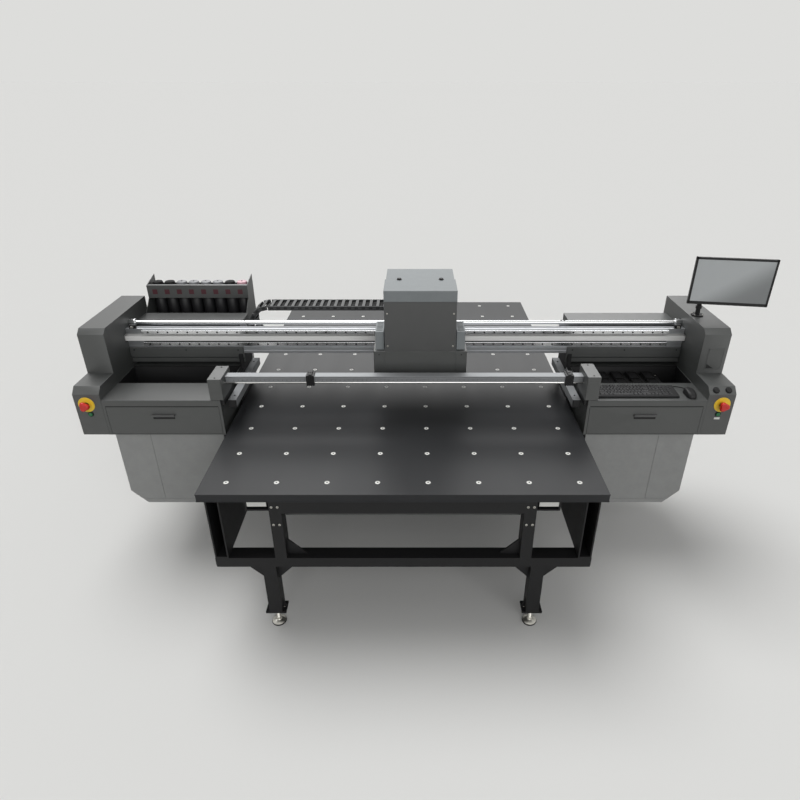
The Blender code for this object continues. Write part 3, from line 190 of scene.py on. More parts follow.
class PrinterColours(bpy.types.PropertyGroup):
    """The colours that a user would change"""

    dark_coat: colour("Dark coat", "Powder coat of the cabinets and housings", "#3b3d3c")
    light_coat: colour("Light coat", "Powder coat of the lower boxes", "#949594")
    hood_coat: colour("Hood coat", "Powder coat of the hood's top", "#8a8f91")
    panel_coat: colour("Panel coat", "Powder coat of the hood's front panel", "#3c3d3d")
    frame_coat: colour("Frame coat", "Powder coat of the base", "#171718")
    bed_skin: colour("Bed", "Anodised skin of the bed", "#242527")
    stop_knob: colour("Stop knob", "Knob of an emergency stop", "#d4241a")
    stop_disc: colour("Stop disc", "Disc behind an emergency stop", "#fbd53a")
    start_button: colour("Start button", "Cap of a start button", "#17693a")
    screen: colour("Screen", "Face of the screen when it is off", "#8f9293")
    rack_patch: colour("Rack patches", "Vinyl squares on the ink rack", "#4a2028")


# Materials


def new_material(name, base, roughness, metallic=0.0, sockets=None):
    """A Principled material. Each further socket is set on the shader itself."""
    material = bpy.data.materials.new(name)
    material.use_nodes = True
    shader = material.node_tree.nodes["Principled BSDF"]
    shader.inputs["Base Color"].default_value = (*base, 1.0)
    shader.inputs["Roughness"].default_value = roughness
    shader.inputs["Metallic"].default_value = metallic
    for socket, value in (sockets or {}).items():
        shader.inputs[socket].default_value = value
    return material


def add_node(tree, kind, settings=None, values=None, links=None):
    """Adds one node with its settings, its input values and its links."""
    node = tree.nodes.new(kind)
    for name, value in (settings or {}).items():
        setattr(node, name, value)
    for name, value in (values or {}).items():
        node.inputs[name].default_value = value
    for name, source in (links or {}).items():
        tree.links.new(source, node.inputs[name])
    return node


def shade(base, factor):
    return (*(min(1.0, max(0.0, value * factor)) for value in base), 1.0)


def noise(tree, vector, size_mm, detail, roughness):
    """A noise pattern, with its size in mm."""
    values = {"Scale": 1000.0 / size_mm, "Detail": detail, "Roughness": roughness}
    node = add_node(tree, "ShaderNodeTexNoise", values=values, links={"Vector": vector})
    return node.outputs["Fac"]


def surface(material, base, look):
    """Gives a material patches of lighter and darker colour and gloss, and a fine relief."""
    tree = material.node_tree
    coordinates = add_node(tree, "ShaderNodeTexCoord").outputs["Object"]
    mapping = add_node(
        tree, "ShaderNodeMapping", values={"Scale": look.stretch}, links={"Vector": coordinates}
    )
    vector = mapping.outputs["Vector"]
    patches = noise(tree, vector, look.patch_mm, 3.0, 0.6)
    tint = add_node(tree, "ShaderNodeValToRGB", links={"Fac": patches})
    for element, position, sign in zip(tint.color_ramp.elements, (0.30, 0.70), (-1, 1)):
        element.position = position
        element.color = shade(base, 1.0 + sign * look.spread)
    relief = add_node(
        tree,
        "ShaderNodeBump",
        values={"Strength": 0.5, "Distance": look.depth_mm / 1000.0},
        links={"Height": noise(tree, vector, look.grain_mm, 2.0, 0.5)},
    )
    shader = tree.nodes["Principled BSDF"]
    rough, wear = look.roughness, look.wear
    gloss = add_node(
        tree,
        "ShaderNodeMapRange",
        values={"To Min": rough * (1.0 - wear), "To Max": rough * (1.0 + wear)},
        links={"Value": patches},
    )
    tree.links.new(tint.outputs["Color"], shader.inputs["Base Color"])
    tree.links.new(gloss.outputs["Result"], shader.inputs["Roughness"])
    tree.links.new(relief.outputs["Normal"], shader.inputs["Normal"])
    return material


class Look(NamedTuple):
    """A finish: its material's name, an sRGB hex code or a colour's name, and its relief in mm."""

    material: str
    base: str
    roughness: float
    spread: float
    patch_mm: float
    grain_mm: float
    depth_mm: float
    metallic: float = 0.0
    stretch: tuple = (1.0, 1.0, 1.0)
    wear: float = 0.1
    gloss: float = None
    ior: float = None


POWDER = (0.05, 60.0, 2.4, 0.12)
MOULDED_CAP = (0.40, 0.06, 10.0, 1.0, 0.03)
ALONG_X = (0.02, 1.0, 1.0)

FINISHES = {
    # Polyester powder, sprayed and baked on sheet steel: fine orange-peel relief, satin sheen
    "dark": Look("dark_grey_powder_coat", "dark_coat", 0.48, *POWDER, gloss=0.95),
    "light": Look("light_grey_powder_coat", "light_coat", 0.55, *POWDER, gloss=0.5),
    "hood": Look("silver_grey_powder_coat", "hood_coat", 0.62, *POWDER, gloss=0.35),
    "panel": Look("charcoal_powder_coat", "panel_coat", 0.42, *POWDER, gloss=0.95),
    "frame": Look("black_powder_coat_on_steel_tube", "frame_coat", 0.55, *POWDER, gloss=0.3),
    # Black anodised sheet: deep satin black. Its rolling lines, 0.3 mm apart, are drawn at 3 mm
    "bed": Look(
        "black_anodised_aluminium_sheet", "bed_skin", 0.46, 0.10, 180.0, 3.0, 0.03,
        stretch=(1.0, 0.06, 1.0), wear=0.15, gloss=0.3,
    ),
    # Natural anodised extrusion: pale satin metal. Its die lines, 0.2 mm apart, are drawn at 1.5 mm
    "aluminium": Look(
        "extruded_anodised_aluminium", "#aeb0b3", 0.40, 0.06, 14.0, 1.5, 0.02, 1.0, ALONG_X, 0.15
    ),
    # Square tube, bead-blasted and anodised: a dull even grey
    "matt_tube": Look(
        "blasted_anodised_aluminium_tube", "#8f9193", 0.55, 0.04, 40.0, 1.2, 0.03, 0.6
    ),
    # Hardened steel with fine grinding lines along the part
    "steel": Look(
        "ground_bearing_steel", "#d2d3d4", 0.20, 0.05, 10.0, 1.0, 0.01, 1.0, (0.03, 1.0, 1.0), 0.2
    ),
    # Hard-chromed tube: bright, with faint lengthwise polishing
    "bright": Look("hard_chromed_steel", "#eeeeec", 0.22, 0.03, 60.0, 0.7, 0.01, 1.0, ALONG_X),
    # Fasteners: zinc plate is slightly warm and soft, blackened steel has an oily sheen
    "zinc": Look("zinc_plated_steel", "#c3c1ba", 0.32, 0.08, 6.0, 0.8, 0.02, 1.0),
    "oxide": Look("black_oxide_steel", "#1d1d1f", 0.38, 0.12, 6.0, 0.8, 0.02, 0.6),
    # White timing belt: satin. Its steel cords, 1.2 mm apart, are drawn as lines at 3 mm
    "belt": Look(
        "polyurethane_timing_belt", "#f4f4f2", 0.34, 0.03, 20.0, 3.0, 0.05, stretch=ALONG_X, ior=1.5
    ),
    # Black timing belt: matt and slightly grey on its back
    "black_belt": Look("neoprene_timing_belt", "#232325", 0.62, 0.12, 25.0, 2.0, 0.10, ior=1.5),
    # Matt black rubber with a little bloom
    "rubber": Look("moulded_nitrile_rubber", "#161616", 0.75, 0.15, 18.0, 1.5, 0.08, gloss=0.2),
    # Spark-eroded texture and soft sheen. Keycaps are paler and polished where fingers rest
    "abs": Look("moulded_black_abs", "#151516", 0.50, 0.08, 30.0, 1.2, 0.06, gloss=0.35),
    "key": Look(
        "moulded_keycap_abs", "#1d1d1f", 0.45, 0.10, 22.0, 1.2, 0.05, wear=0.25, gloss=0.35
    ),
    # Near-black with greyish fibres at the skin. Between the chain's side plates a darker copy
    # stands as painted shade of the unlit inside
    "chain": Look("glass_filled_nylon", "#3a3b3c", 0.58, 0.12, 9.0, 1.0, 0.06, ior=1.52),
    "chain_inside": Look("black_nylon", "#141415", 0.60, 0.12, 9.0, 1.0, 0.06, ior=1.52),
    # Soft white with a faint turning grain
    "insert": Look("turned_white_nylon", "#e4e4df", 0.40, 0.04, 5.0, 0.8, 0.03, ior=1.52),
    # Painted shade: the near-black inside of a bore, a socket or a slot
    "hole": Look("bore_shadow_black_oxide", "#0d0d0e", 0.75, 0.20, 10.0, 1.0, 0.05),
    # Glossy knob, stamped disc in gloss enamel, and a translucent cap over a lamp that is off
    "red": Look("moulded_red_polycarbonate", "stop_knob", 0.24, 0.06, 12.0, 1.2, 0.02, ior=1.58),
    "yellow": Look("yellow_enamelled_sheet", "stop_disc", 0.30, 0.04, 20.0, 1.5, 0.02, ior=1.5),
    "green": Look(
        "moulded_green_polycarbonate", "start_button", 0.25, 0.08, 8.0, 1.0, 0.02, ior=1.58
    ),
    # Blow-moulded bottle: waxy and slightly uneven. Its moulded caps are smoother
    "bottle": Look("black_polyethylene", "#1e1e20", 0.42, 0.10, 30.0, 3.0, 0.10, ior=1.52),
    "grey_cap": Look("moulded_grey_polypropylene", "#85878a", *MOULDED_CAP, ior=1.49),
    "pink_cap": Look("moulded_pink_polypropylene", "#d8aab4", *MOULDED_CAP, ior=1.49),
    # Plain vinyl squares stuck on the coat: thin, matt, slightly faded
    "vinyl": Look("cast_vinyl_film", "rack_patch", 0.50, 0.14, 9.0, 1.2, 0.02, ior=1.5),
    # The window of a UV lamp, dark because the lamp is off
    "quartz": Look("quartz_window", "#39424a", 0.08, 0.10, 25.0, 3.0, 0.01, ior=1.46),
    # Open-cell pad inside a cap, near-black as painted shade of the deep well
    "sponge": Look("inked_melamine_sponge", "#1a1a1b", 0.90, 0.15, 4.0, 1.5, 0.40, gloss=0.1),
}
made_materials = {}


def base_colour(code):
    """The linear colour of a hex code, or of a colour in the panel."""
    if code.startswith("#"):
        return linear(code)
    return tuple(getattr(bpy.context.scene.printer_colours, code))


def make_finish(look):
    base = base_colour(look.base)
    sockets = {"Specular IOR Level": look.gloss, "IOR": look.ior}
    given = {socket: value for socket, value in sockets.items() if value is not None}
    material = new_material(look.material, base, look.roughness, look.metallic, given)
    return surface(material, base, look)


def screen_with_painted_reflection():
    """Matt polariser film of a screen that is off, with a painted reflection: grey haze, palest at
    its upper left corner.
    """
    base = base_colour("screen")
    material = new_material("matt_polariser_film", base, 0.30, 0.0, {"IOR": 1.49})
    tree = material.node_tree
    generated = add_node(tree, "ShaderNodeTexCoord").outputs["Generated"]
    slope = add_node(
        tree, "ShaderNodeVectorMath", {"operation": "DOT_PRODUCT"}, {1: (1.0, 0.0, -0.9)},
        {0: generated},
    )
    tint = add_node(tree, "ShaderNodeValToRGB", links={"Fac": slope.outputs["Value"]})
    ramp = tint.color_ramp
    ramp.interpolation = "B_SPLINE"
    ramp.elements[0].position, ramp.elements[1].position = 0.0, 1.0
    ramp.elements[0].color = shade(base, 2.2)
    ramp.elements[1].color = shade(base, 1.05)
    middle = ramp.elements.new(0.45)
    middle.color = shade(base, 0.80)
    shader = tree.nodes["Principled BSDF"]
    tree.links.new(tint.outputs["Color"], shader.inputs["Base Color"])
    return material


def finish(key):
    """The material of a finish, made when it is first asked for."""
    if key not in made_materials:
        if key == "screen":
            made_materials[key] = screen_with_painted_reflection()
        else:
            made_materials[key] = make_finish(FINISHES[key])
    return made_materials[key]


# Drawing


def sizes():
    return bpy.context.scene.printer_sizes


def about(middle, half):
    """The span that reaches as far to both sides of a middle."""
    return (middle - half, middle + half)


def within(span, margin):
    return (span[0] + margin, span[1] - margin)


def skin(face, proud, deep=0.001):
    """The span of a thin piece that stands proud of a face that looks forward."""
    return (face - proud, face + deep)


def spans(node):
    """The reach of a CAD node along each axis, in the machine's own frame."""
    return list(zip(*machine_box(node)))


def machine_box(node):
    """The lowest and highest corners of a CAD node, in the machine's own frame."""
    shift = Vector((MIDDLE_X, 0, 0))
    low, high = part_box(node)
    return low - shift, high - shift


def paint_new(verts, index):
    """Gives the faces of newly drawn points a finish, by its place in the piece's list."""
    for face in {face for vert in verts for face in vert.link_faces}:
        face.material_index = index
    return verts


def block(mesh, x, y, z, index=0):
    """A box between two values along each axis, given in either order."""
    verts = bmesh.ops.create_cube(mesh, size=1.0)["verts"]
    for vert in verts:
        for axis, (a, b) in enumerate((x, y, z)):
            vert.co[axis] = min(a, b) if vert.co[axis] < 0 else max(a, b)
    return paint_new(verts, index)


def prism(mesh, outline, low, high, axis, index=0):
    """An outline pushed along an axis. Its points are (y, z), (x, z) or (x, y)."""
    rings = []
    for level in (low, high):
        ring = []
        for a, b in outline:
            point = [a, b]
            point.insert(axis, level)
            ring.append(mesh.verts.new(point))
        rings.append(ring)
    first, last = rings
    count = len(outline)
    mesh.faces.new(first[::-1])
    mesh.faces.new(last)
    for n in range(count):
        m = (n + 1) % count
        mesh.faces.new((first[n], first[m], last[m], last[n]))
    return paint_new(first + last, index)


def facing(axis):
    """The turn that takes Z to an axis."""
    if axis == "X":
        return Matrix.Rotation(math.pi / 2, 3, "Y")
    if axis == "Y":
        return Matrix.Rotation(-math.pi / 2, 3, "X")
    if axis == "Z":
        return Matrix.Identity(3)
    return Vector((0, 0, 1)).rotation_difference(Vector(axis)).to_matrix()


def turned(mesh, profile, centre, axis="Z", sides=32, index=0, lobes=0.0):
    """Rings of (distance along the axis, radius) about a line through centre, shut at both ends."""
    matrix = facing(axis)
    rings = []
    for along, radius in profile:
        ring = []
        for n in range(sides):
            angle = 2 * math.pi * n / sides
            reach = radius * (1.0 - lobes + lobes * math.cos(3 * angle))
            point = Vector((reach * math.cos(angle), reach * math.sin(angle), along))
            ring.append(mesh.verts.new(Vector(centre) + matrix @ point))
        rings.append(ring)
    for lower, upper in zip(rings, rings[1:]):
        for n in range(sides):
            m = (n + 1) % sides
            mesh.faces.new((lower[n], lower[m], upper[m], upper[n]))
    mesh.faces.new(rings[0][::-1])
    mesh.faces.new(rings[-1])
    return paint_new([vert for ring in rings for vert in ring], index)


def peg(mesh, reach, radius, centre, axis, sides, index=0):
    """A plain round or hexagonal peg between two distances along its axis."""
    return turned(mesh, [(along, radius) for along in reach], centre, axis, sides, index)


def screw(mesh, spot, axis, radius, head=0, socket=1):
    """A cap screw's head with its hexagon socket, standing on a spot. A socket in the hole finish
    is painted shade.
    """
    tall = radius * 0.55
    rim = [(-0.0005, radius), (tall * 0.7, radius), (tall, radius * 0.82)]
    turned(mesh, rim, spot, axis, 16, head)
    peg(mesh, (tall * 0.5, tall + 0.0002), radius * 0.48, spot, axis, 6, socket)


def place(name, mesh, body, finishes, stands_for=(), bevel=0.0):
    """Turns a drawn shape into a piece that rides on a body, or on none yet."""
    bmesh.ops.recalc_face_normals(mesh, faces=mesh.faces)
    bmesh.ops.translate(mesh, verts=mesh.verts, vec=(MIDDLE_X, 0, 0))
    data = bpy.data.meshes.new(name)
    mesh.to_mesh(data)
    mesh.free()
    for key in finishes:
        data.materials.append(finish(key))
    data.shade_smooth()
    data.set_sharp_from_angle(angle=math.radians(32))
    piece = bpy.data.objects.new(name, data)
    bpy.context.scene.collection.objects.link(piece)
    if bevel:
        modifier = piece.modifiers.new("rounded edges", "BEVEL")
        modifier.width = bevel
        modifier.segments = 2
        modifier.limit_method = "ANGLE"
        modifier.angle_limit = math.radians(32)
        modifier.harden_normals = True
    if body:
        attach(piece, body)
    if stands_for:
        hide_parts(*stands_for)
    return piece


def soften(node, finishes, bevel, patches=()):
    """A copy of a CAD node with rounded edges. Faces inside a patch box take a further finish."""
    source = frame["nodes"][node]
    mesh = bmesh.new()
    mesh.from_mesh(source.data)
    bmesh.ops.translate(mesh, verts=mesh.verts, vec=(-MIDDLE_X, 0, 0))
    bmesh.ops.remove_doubles(mesh, verts=mesh.verts, dist=1e-5)
    bmesh.ops.dissolve_limit(
        mesh, angle_limit=math.radians(1), verts=mesh.verts, edges=mesh.edges
    )
    for face in mesh.faces:
        face.material_index = 0
        centre = face.calc_center_median()
        for index, (low, high) in patches:
            if all(a - 1e-4 <= c <= b + 1e-4 for a, c, b in zip(low, centre, high)):
                face.material_index = index
    return place(f"{node}_made", mesh, source["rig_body"], finishes, (node,), bevel)


def frange(low, high, step):
    """Values a step apart, centred between low and high."""
    count = int((high - low) / step + 1e-6) + 1
    start = (low + high - (count - 1) * step) / 2
    return [start + n * step for n in range(count)]


def flowing(points, steps):
    """Points along a Catmull-Rom curve through the given ones."""
    places = [Vector(p) for p in points]
    padded = [2 * places[0] - places[1], *places, 2 * places[-1] - places[-2]]
    found = []
    for a, b, c, d in zip(padded, padded[1:], padded[2:], padded[3:]):
        for n in range(steps):
            t = n / steps
            found.append(
                0.5
                * (
                    2 * b
                    + (c - a) * t
                    + (2 * a - 5 * b + 4 * c - d) * t * t
                    + (3 * b - 3 * c + d - a) * t * t * t
                )
            )
    return [*found, places[-1]]


# Stage and cord


def make_stage():
    scene = bpy.context.scene
    scene.view_settings.view_transform = "Standard"
    lens = bpy.data.cameras.new("camera")
    lens.lens, lens.sensor_width, lens.shift_x = LENS_MM, SENSOR_MM, LENS_SHIFT
    camera = bpy.data.objects.new("camera", lens)
    x, y, z = CAMERA_SPOT
    camera.location = (x + MIDDLE_X, y, z)
    camera.rotation_euler = (math.radians(CAMERA_TILT), 0.0, 0.0)
    scene.collection.objects.link(camera)
    scene.camera = camera

    mesh = bmesh.new()
    bmesh.ops.create_grid(mesh, x_segments=4, y_segments=4, size=FLOOR_REACH)
    data = bpy.data.meshes.new("floor")
    mesh.to_mesh(data)
    mesh.free()
    data.materials.append(floor_paint())
    floor = bpy.data.objects.new("floor", data)
    scene.collection.objects.link(floor)

    for name, kind, spot, energy, shape in LIGHTS:
        lamp = bpy.data.lights.new(name, kind)
        lamp.energy = energy
        for setting, value in shape.items():
            setattr(lamp, setting, value)
        light = bpy.data.objects.new(name, lamp)
        light.location = Vector(spot)
        light.visible_camera = False
        light.visible_diffuse = kind == "SUN"
        aim = Vector(LIT_POINT) - Vector(spot)
        light.rotation_euler = aim.to_track_quat("-Z", "Y").to_euler()
        scene.collection.objects.link(light)
    make_world(scene)


def any_ray(tree, *kinds):
    """One for a ray of any of these kinds, and nought for the others."""
    rays = add_node(tree, "ShaderNodeLightPath")
    found = rays.outputs[kinds[0]]
    for kind in kinds[1:]:
        links = {0: found, 1: rays.outputs[kind]}
        found = add_node(tree, "ShaderNodeMath", {"operation": "MAXIMUM"}, links=links).outputs[0]
    return found


def floor_paint():
    """Matt paint of a pale seamless floor, which throws only a little light back at the object."""
    material = new_material(
        "matt_floor_paint", linear("#dededc"), 0.9, sockets={"Specular IOR Level": 0.0}
    )
    tree = material.node_tree
    shader = tree.nodes["Principled BSDF"]
    dim = add_node(tree, "ShaderNodeBsdfDiffuse", values={"Color": (*linear("#8e8e8c"), 1.0)})
    seen = any_ray(tree, "Is Camera Ray", "Is Glossy Ray")
    links = {0: seen, 1: dim.outputs[0], 2: shader.outputs[0]}
    mix = add_node(tree, "ShaderNodeMixShader", links=links)
    tree.links.new(mix.outputs[0], tree.nodes["Material Output"].inputs["Surface"])
    return material


def make_world(scene):
    """A pale room. What the camera and the reflections see is apart from what lights the object."""
    world = bpy.data.worlds.new("studio")
    world.use_nodes = True
    scene.world = world
    tree = world.node_tree
    tree.nodes.clear()
    white = (1.0, 1.0, 1.0, 1.0)
    light = add_node(tree, "ShaderNodeBackground", values={"Color": white, "Strength": 0.30})
    seen = add_node(tree, "ShaderNodeBackground", values={"Color": (*linear("#dddddb"), 1.0)})
    rays = any_ray(tree, "Is Camera Ray", "Is Glossy Ray", "Is Transmission Ray")
    links = {0: rays, 1: light.outputs[0], 2: seen.outputs[0]}
    mix = add_node(tree, "ShaderNodeMixShader", links=links)
    add_node(tree, "ShaderNodeOutputWorld", links={"Surface": mix.outputs[0]})


def make_mouse_cord():
    points = [point + Vector((MIDDLE_X, 0, 0)) for point in flowing(MOUSE_CORD, 3)]
    curve = bpy.data.curves.new("mouse_lead", "CURVE")
    curve.dimensions = "3D"
    curve.bevel_depth = 0.0018
    curve.bevel_resolution = 4
    curve.use_fill_caps = True
    spline = curve.splines.new("POLY")
    spline.points.add(len(points) - 1)
    for point, spot in zip(spline.points, points):
        point.co = (*spot, 1.0)
    curve.materials.append(finish("rubber"))
    cord = bpy.data.objects.new("mouse_lead", curve)
    bpy.context.scene.collection.objects.link(cord)
    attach(cord, "gantry")
    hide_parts("mouse_cord")


# Bed and base


def make_bed():
    """A sandwich panel, whose core stands back a little from the edges of its two sheets."""
    x, y, (bottom, top) = spans("bed")
    sheet, inset = 0.006, 0.0015
    core = (bottom + sheet / 2, top - sheet + 0.0002)
    mesh = bmesh.new()
    block(mesh, x, y, (top - sheet, top))
    block(mesh, within(x, inset), within(y, inset), core)
    block(mesh, x, y, (bottom, bottom + sheet))
    place("bed_panel", mesh, "base", ["bed"], ("bed",), sizes().machined_edge)
    make_inserts(x, y, top)


def make_inserts(x_span, y_span, top):
    """White inserts sunk flush in the bed, each with a small bore drawn as a near-black disc of
    painted shade.
    """
    radius, margin = sizes().insert_radius, 0.06
    rim = [(-0.002, radius), (0.0003, radius), (0.0008, radius * 0.93)]
    mesh = bmesh.new()
    for x in frange(*within(x_span, margin), sizes().insert_pitch_x):
        for y in frange(*within(y_span, margin), sizes().insert_pitch_y):
            turned(mesh, rim, (x, y, top), "Z", 20, 0)
            peg(mesh, (0.0, 0.0011), radius * 0.30, (x, y, top), "Z", 12, 1)
    place("suction_inserts", mesh, "base", ["insert", "hole"])


def make_base_frame():
    for end, end_name in ENDS:
        make_end_frame(end, f"end_frame_{end_name}")
    for side, name in SIDES:
        x = sorted((side * 0.9702, side * 0.9852))
        rail = ((x[0], -1.4, 0.6995), (x[1], 1.4, 0.7245))
        node = f"side_rail_beam_{name}"
        soften(node, ["frame", "steel"], sizes().machined_edge, [(1, rail)])
        mesh = bmesh.new()
        for y in frange(-1.24, 1.24, sizes().rail_pitch):
            spot = (side * 0.985, y, 0.712)
            peg(mesh, (-0.001, 0.0002), 0.0055, spot, (side, 0, 0), 16, 0)
            peg(mesh, (-0.001, 0.0003), 0.0038, spot, (side, 0, 0), 6, 1)
        place(f"{node}_bolts", mesh, "base", ["zinc", "hole"])
    make_feet()
    make_plenum()


def make_end_frame(end, node):
    """Gussets, screws and tube plugs of one end frame."""
    soften(node, ["frame"], sizes().fold)
    y = end * END_Y
    width = 0.11
    mesh = bmesh.new()
    for side, _ in SIDES:
        for lean in (-1, 1):
            x = side * POST_X + lean * 0.035
            outline = [(x, 0.44), (x + lean * width, 0.44), (x, 0.44 - width)]
            prism(mesh, outline, y - 0.005, y + 0.005, 1)
            foot = [(x, 0.112), (x + lean * 0.019, 0.112), (x, 0.18)]
            prism(mesh, foot, y - 0.004, y + 0.004, 1)
        post = [(side * 0.60, 0.50), (side * 0.50, 0.50), (side * 0.60, 0.60)]
        prism(mesh, post, y - 0.005, y + 0.005, 1)
        for z in (0.83, 0.72):
            for dx in (-0.015, 0.015):
                screw(mesh, (side * 0.63 + dx, end * 1.38, z), (0, end, 0), 0.0065, 1, 2)
        for x in (0.66, 0.74):
            screw(mesh, (side * x, y, 0.112), "Z", 0.006, 1, 2)
    place(f"{node}_gussets", mesh, "base", ["frame", "zinc", "hole"], bevel=0.001)
    # Moulded plugs close the ends of the lower cross tube
    mesh = bmesh.new()
    for side, _ in SIDES:
        x = (side * 0.969, side * 0.974)
        block(mesh, x, (end * 1.304, end * 1.376), (0.444, 0.496))
    place(f"{node}_plugs", mesh, "base", ["abs"], bevel=0.002)


def make_feet():
    """Each foot: a steel cup on a rubber pad, a threaded stem and two hexagon nuts."""
    pad = [(0.0, 0.038), (0.004, 0.04), (0.007, 0.04)]
    cup = [(0.006, 0.0375), (0.010, 0.038), (0.013, 0.034), (0.020, 0.016), (0.024, 0.014)]
    thread = []
    for turn in range(22):
        z = 0.022 + turn * 0.0035
        thread += [(z, 0.0102), (z + 0.00175, 0.0090)]
    stem = [step for step in thread if step[0] < 0.0995]
    for end, end_name in ENDS:
        for side, name in SIDES:
            spot = (side * POST_X, end * END_Y, 0.0)
            mesh = bmesh.new()
            turned(mesh, pad, spot, "Z", 40, 1)
            turned(mesh, cup, spot, "Z", 40, 0)
            turned(mesh, stem, spot, "Z", 20, 0)
            for low in (0.024, 0.084):
                nut = [(0.0, 0.0140), (0.002, 0.0160), (0.010, 0.0160), (0.012, 0.014)]
                turned(mesh, [(low + z, radius) for z, radius in nut], spot, "Z", 6, 0)
            node = f"levelling_foot_{end_name}_{name}"
            place(f"{node}_made", mesh, "base", ["zinc", "rubber"], (node,))


def make_plenum():
    soften("vacuum_plenum", ["dark"], sizes().fold)
    low, high = machine_box("vacuum_plenum")
    port = (0.0, 0.4, low.z)
    mesh = bmesh.new()
    # Folded ribs across the tray, and a flanged spigot round the suction port
    for y in frange(low.y + 0.1, high.y - 0.1, 0.32):
        for x in ((low.x + 0.03, -0.12), (0.12, high.x - 0.03)):
            block(mesh, x, about(y, 0.012), (low.z - 0.012, low.z + 0.001), 0)
    ring = [(-0.04, 0.066), (-0.008, 0.066), (-0.008, 0.085), (0.001, 0.085)]
    turned(mesh, ring, port, "Z", 40, 0)
    # The port's opening is a near-black disc of painted shade
    peg(mesh, (-0.0405, -0.03), 0.058, port, "Z", 40, 1)
    place("plenum_ribs", mesh, "base", ["dark", "hole"], bevel=0.001)


def make_bed_drive():
    # One half of a roller, from its end to its toothed middle
    half = [(0.0568, 0.006), (0.049, 0.006), (0.049, 0.0115), (0.048, 0.012), (0.048, 0.0185)]
    half += [(0.0472, 0.020), (0.030, 0.020), (0.0295, 0.0193)]
    roller = [(-x, radius) for x, radius in half] + half[::-1]
    # White guard in front of the roller, which shows under the bed's edge. Its white stands in for
    # a bright glint there, a painted highlight
    glint_guard = [
        (-1.3636, 0.8690), (-1.3662, 0.8690), (-1.3664, 0.8240), (-1.3610, 0.8185),
        (-1.3598, 0.8208), (-1.3638, 0.8250),
    ]
    for side, name in SIDES:
        soften(f"bed_drive_belt_{name}", ["black_belt"], 0.0)
        x = side * ROLLER_X
        mesh = bmesh.new()
        turned(mesh, roller, (x, -END_Y, ROLLER_HEIGHT), "X", 48, 0)
        node = f"belt_roller_{name}"
        place(f"{node}_made", mesh, node, ["steel"], (node,))
        mesh = bmesh.new()
        for outer in (-1, 1):
            spot = (x + outer * 0.0568, -END_Y, ROLLER_HEIGHT)
            peg(mesh, (0.0, 0.0006), 0.0105, spot, (outer, 0, 0), 24, 0)
        place(f"{node}_clips", mesh, "base", ["oxide"])
        mesh = bmesh.new()
        prism(mesh, glint_guard, x - 0.048, x + 0.048, 0)
        place(f"{node}_guard", mesh, "base", ["insert"], bevel=0.0004)
    make_rear_shaft()


def make_rear_shaft():
    """The rear shaft with a drum at each end and two split collars with their clamping screws."""
    profile = [(-0.7768, 0.010)]
    for low, high in ((-0.768, -0.672), (0.672, 0.768)):
        profile += [
            (low, 0.010), (low, 0.0185), (low + 0.0008, 0.020), (high - 0.0008, 0.020),
            (high, 0.0185), (high, 0.010),
        ]
    profile.append((0.7768, 0.010))
    centre = (0.0, END_Y, ROLLER_HEIGHT)
    mesh = bmesh.new()
    turned(mesh, profile, centre, "X", 48, 0)
    for x in (-0.30, 0.30):
        peg(mesh, about(x, 0.012), 0.0165, centre, "X", 36, 0)
        screw(mesh, (x, END_Y, 0.8665), "Z", 0.003, 1, 1)
    node = "rear_drive_shaft"
    place("rear_shaft_made", mesh, node, ["steel", "oxide"], (node,), 0.0004)


# Gantry


def make_gantry_frame():
    for side, name in SIDES:
        node = f"gantry_upright_{name}"
        x = sorted((side * 0.9702, side * 1.0039))
        blocks = ((x[0], -0.42, 0.60), (x[1], -0.10, 0.78))
        soften(node, ["frame", "steel"], sizes().fold, [(1, blocks)])
        mesh = bmesh.new()
        for y in (-0.38, -0.34, -0.18, -0.14):
            for z in (0.69, 0.735):
                screw(mesh, (side * 1.0297, y, z), (side, 0, 0), 0.006, 0, 1)
        place(f"{node}_screws", mesh, "gantry", ["oxide", "hole"])
    soften("gantry_lower_tie", ["frame"], 0.002)
    mesh = bmesh.new()
    for side, _ in SIDES:
        for dx in (-0.012, 0.012):
            for z in (0.50, 0.80):
                screw(mesh, (side * (0.72 + dx), -0.28, z), FORWARD, 0.005, 0, 1)
    place("belt_clamp_screws", mesh, "gantry", ["zinc", "hole"])


def make_beam():
    soften("cross_beam", ["aluminium"], sizes().machined_edge)
    front = BEAM_FRONT - 0.018
    for name, middle in RAIL_HEIGHTS.items():
        node = f"carriage_rail_{name}"
        low, high = machine_box(node)
        # A profiled rail: two ball races above and below its waist
        y, z = low.y, (high.z, low.z)
        upper = [
            (y + 0.009, z[0]), (y + 0.0075, z[0] - 0.0022), (y + 0.0045, z[0] - 0.0022),
            (y + 0.003, z[0]), (y, z[0]),
        ]
        lower = [
            (y, z[1]), (y + 0.003, z[1]), (y + 0.0045, z[1] + 0.0022), (y + 0.0075, z[1] + 0.0022),
            (y + 0.009, z[1]),
        ]
        outline = [(high.y, z[1]), (high.y, z[0]), *upper, *lower]
        mesh = bmesh.new()
        prism(mesh, outline, low.x, high.x, 0)
        place(f"{node}_made", mesh, "gantry", ["steel"], (node,), 0.0004)
        mesh = bmesh.new()
        # Bolt bores on the rail's face, drawn as near-black discs of painted shade
        for x in frange(low.x + 0.02, high.x - 0.02, sizes().rail_pitch):
            peg(mesh, (-0.002, 0.0002), 0.0058, (x, front, middle), FORWARD, 16, 0)
        place(f"{node}_bores", mesh, "gantry", ["hole"])
    make_beam_trim()


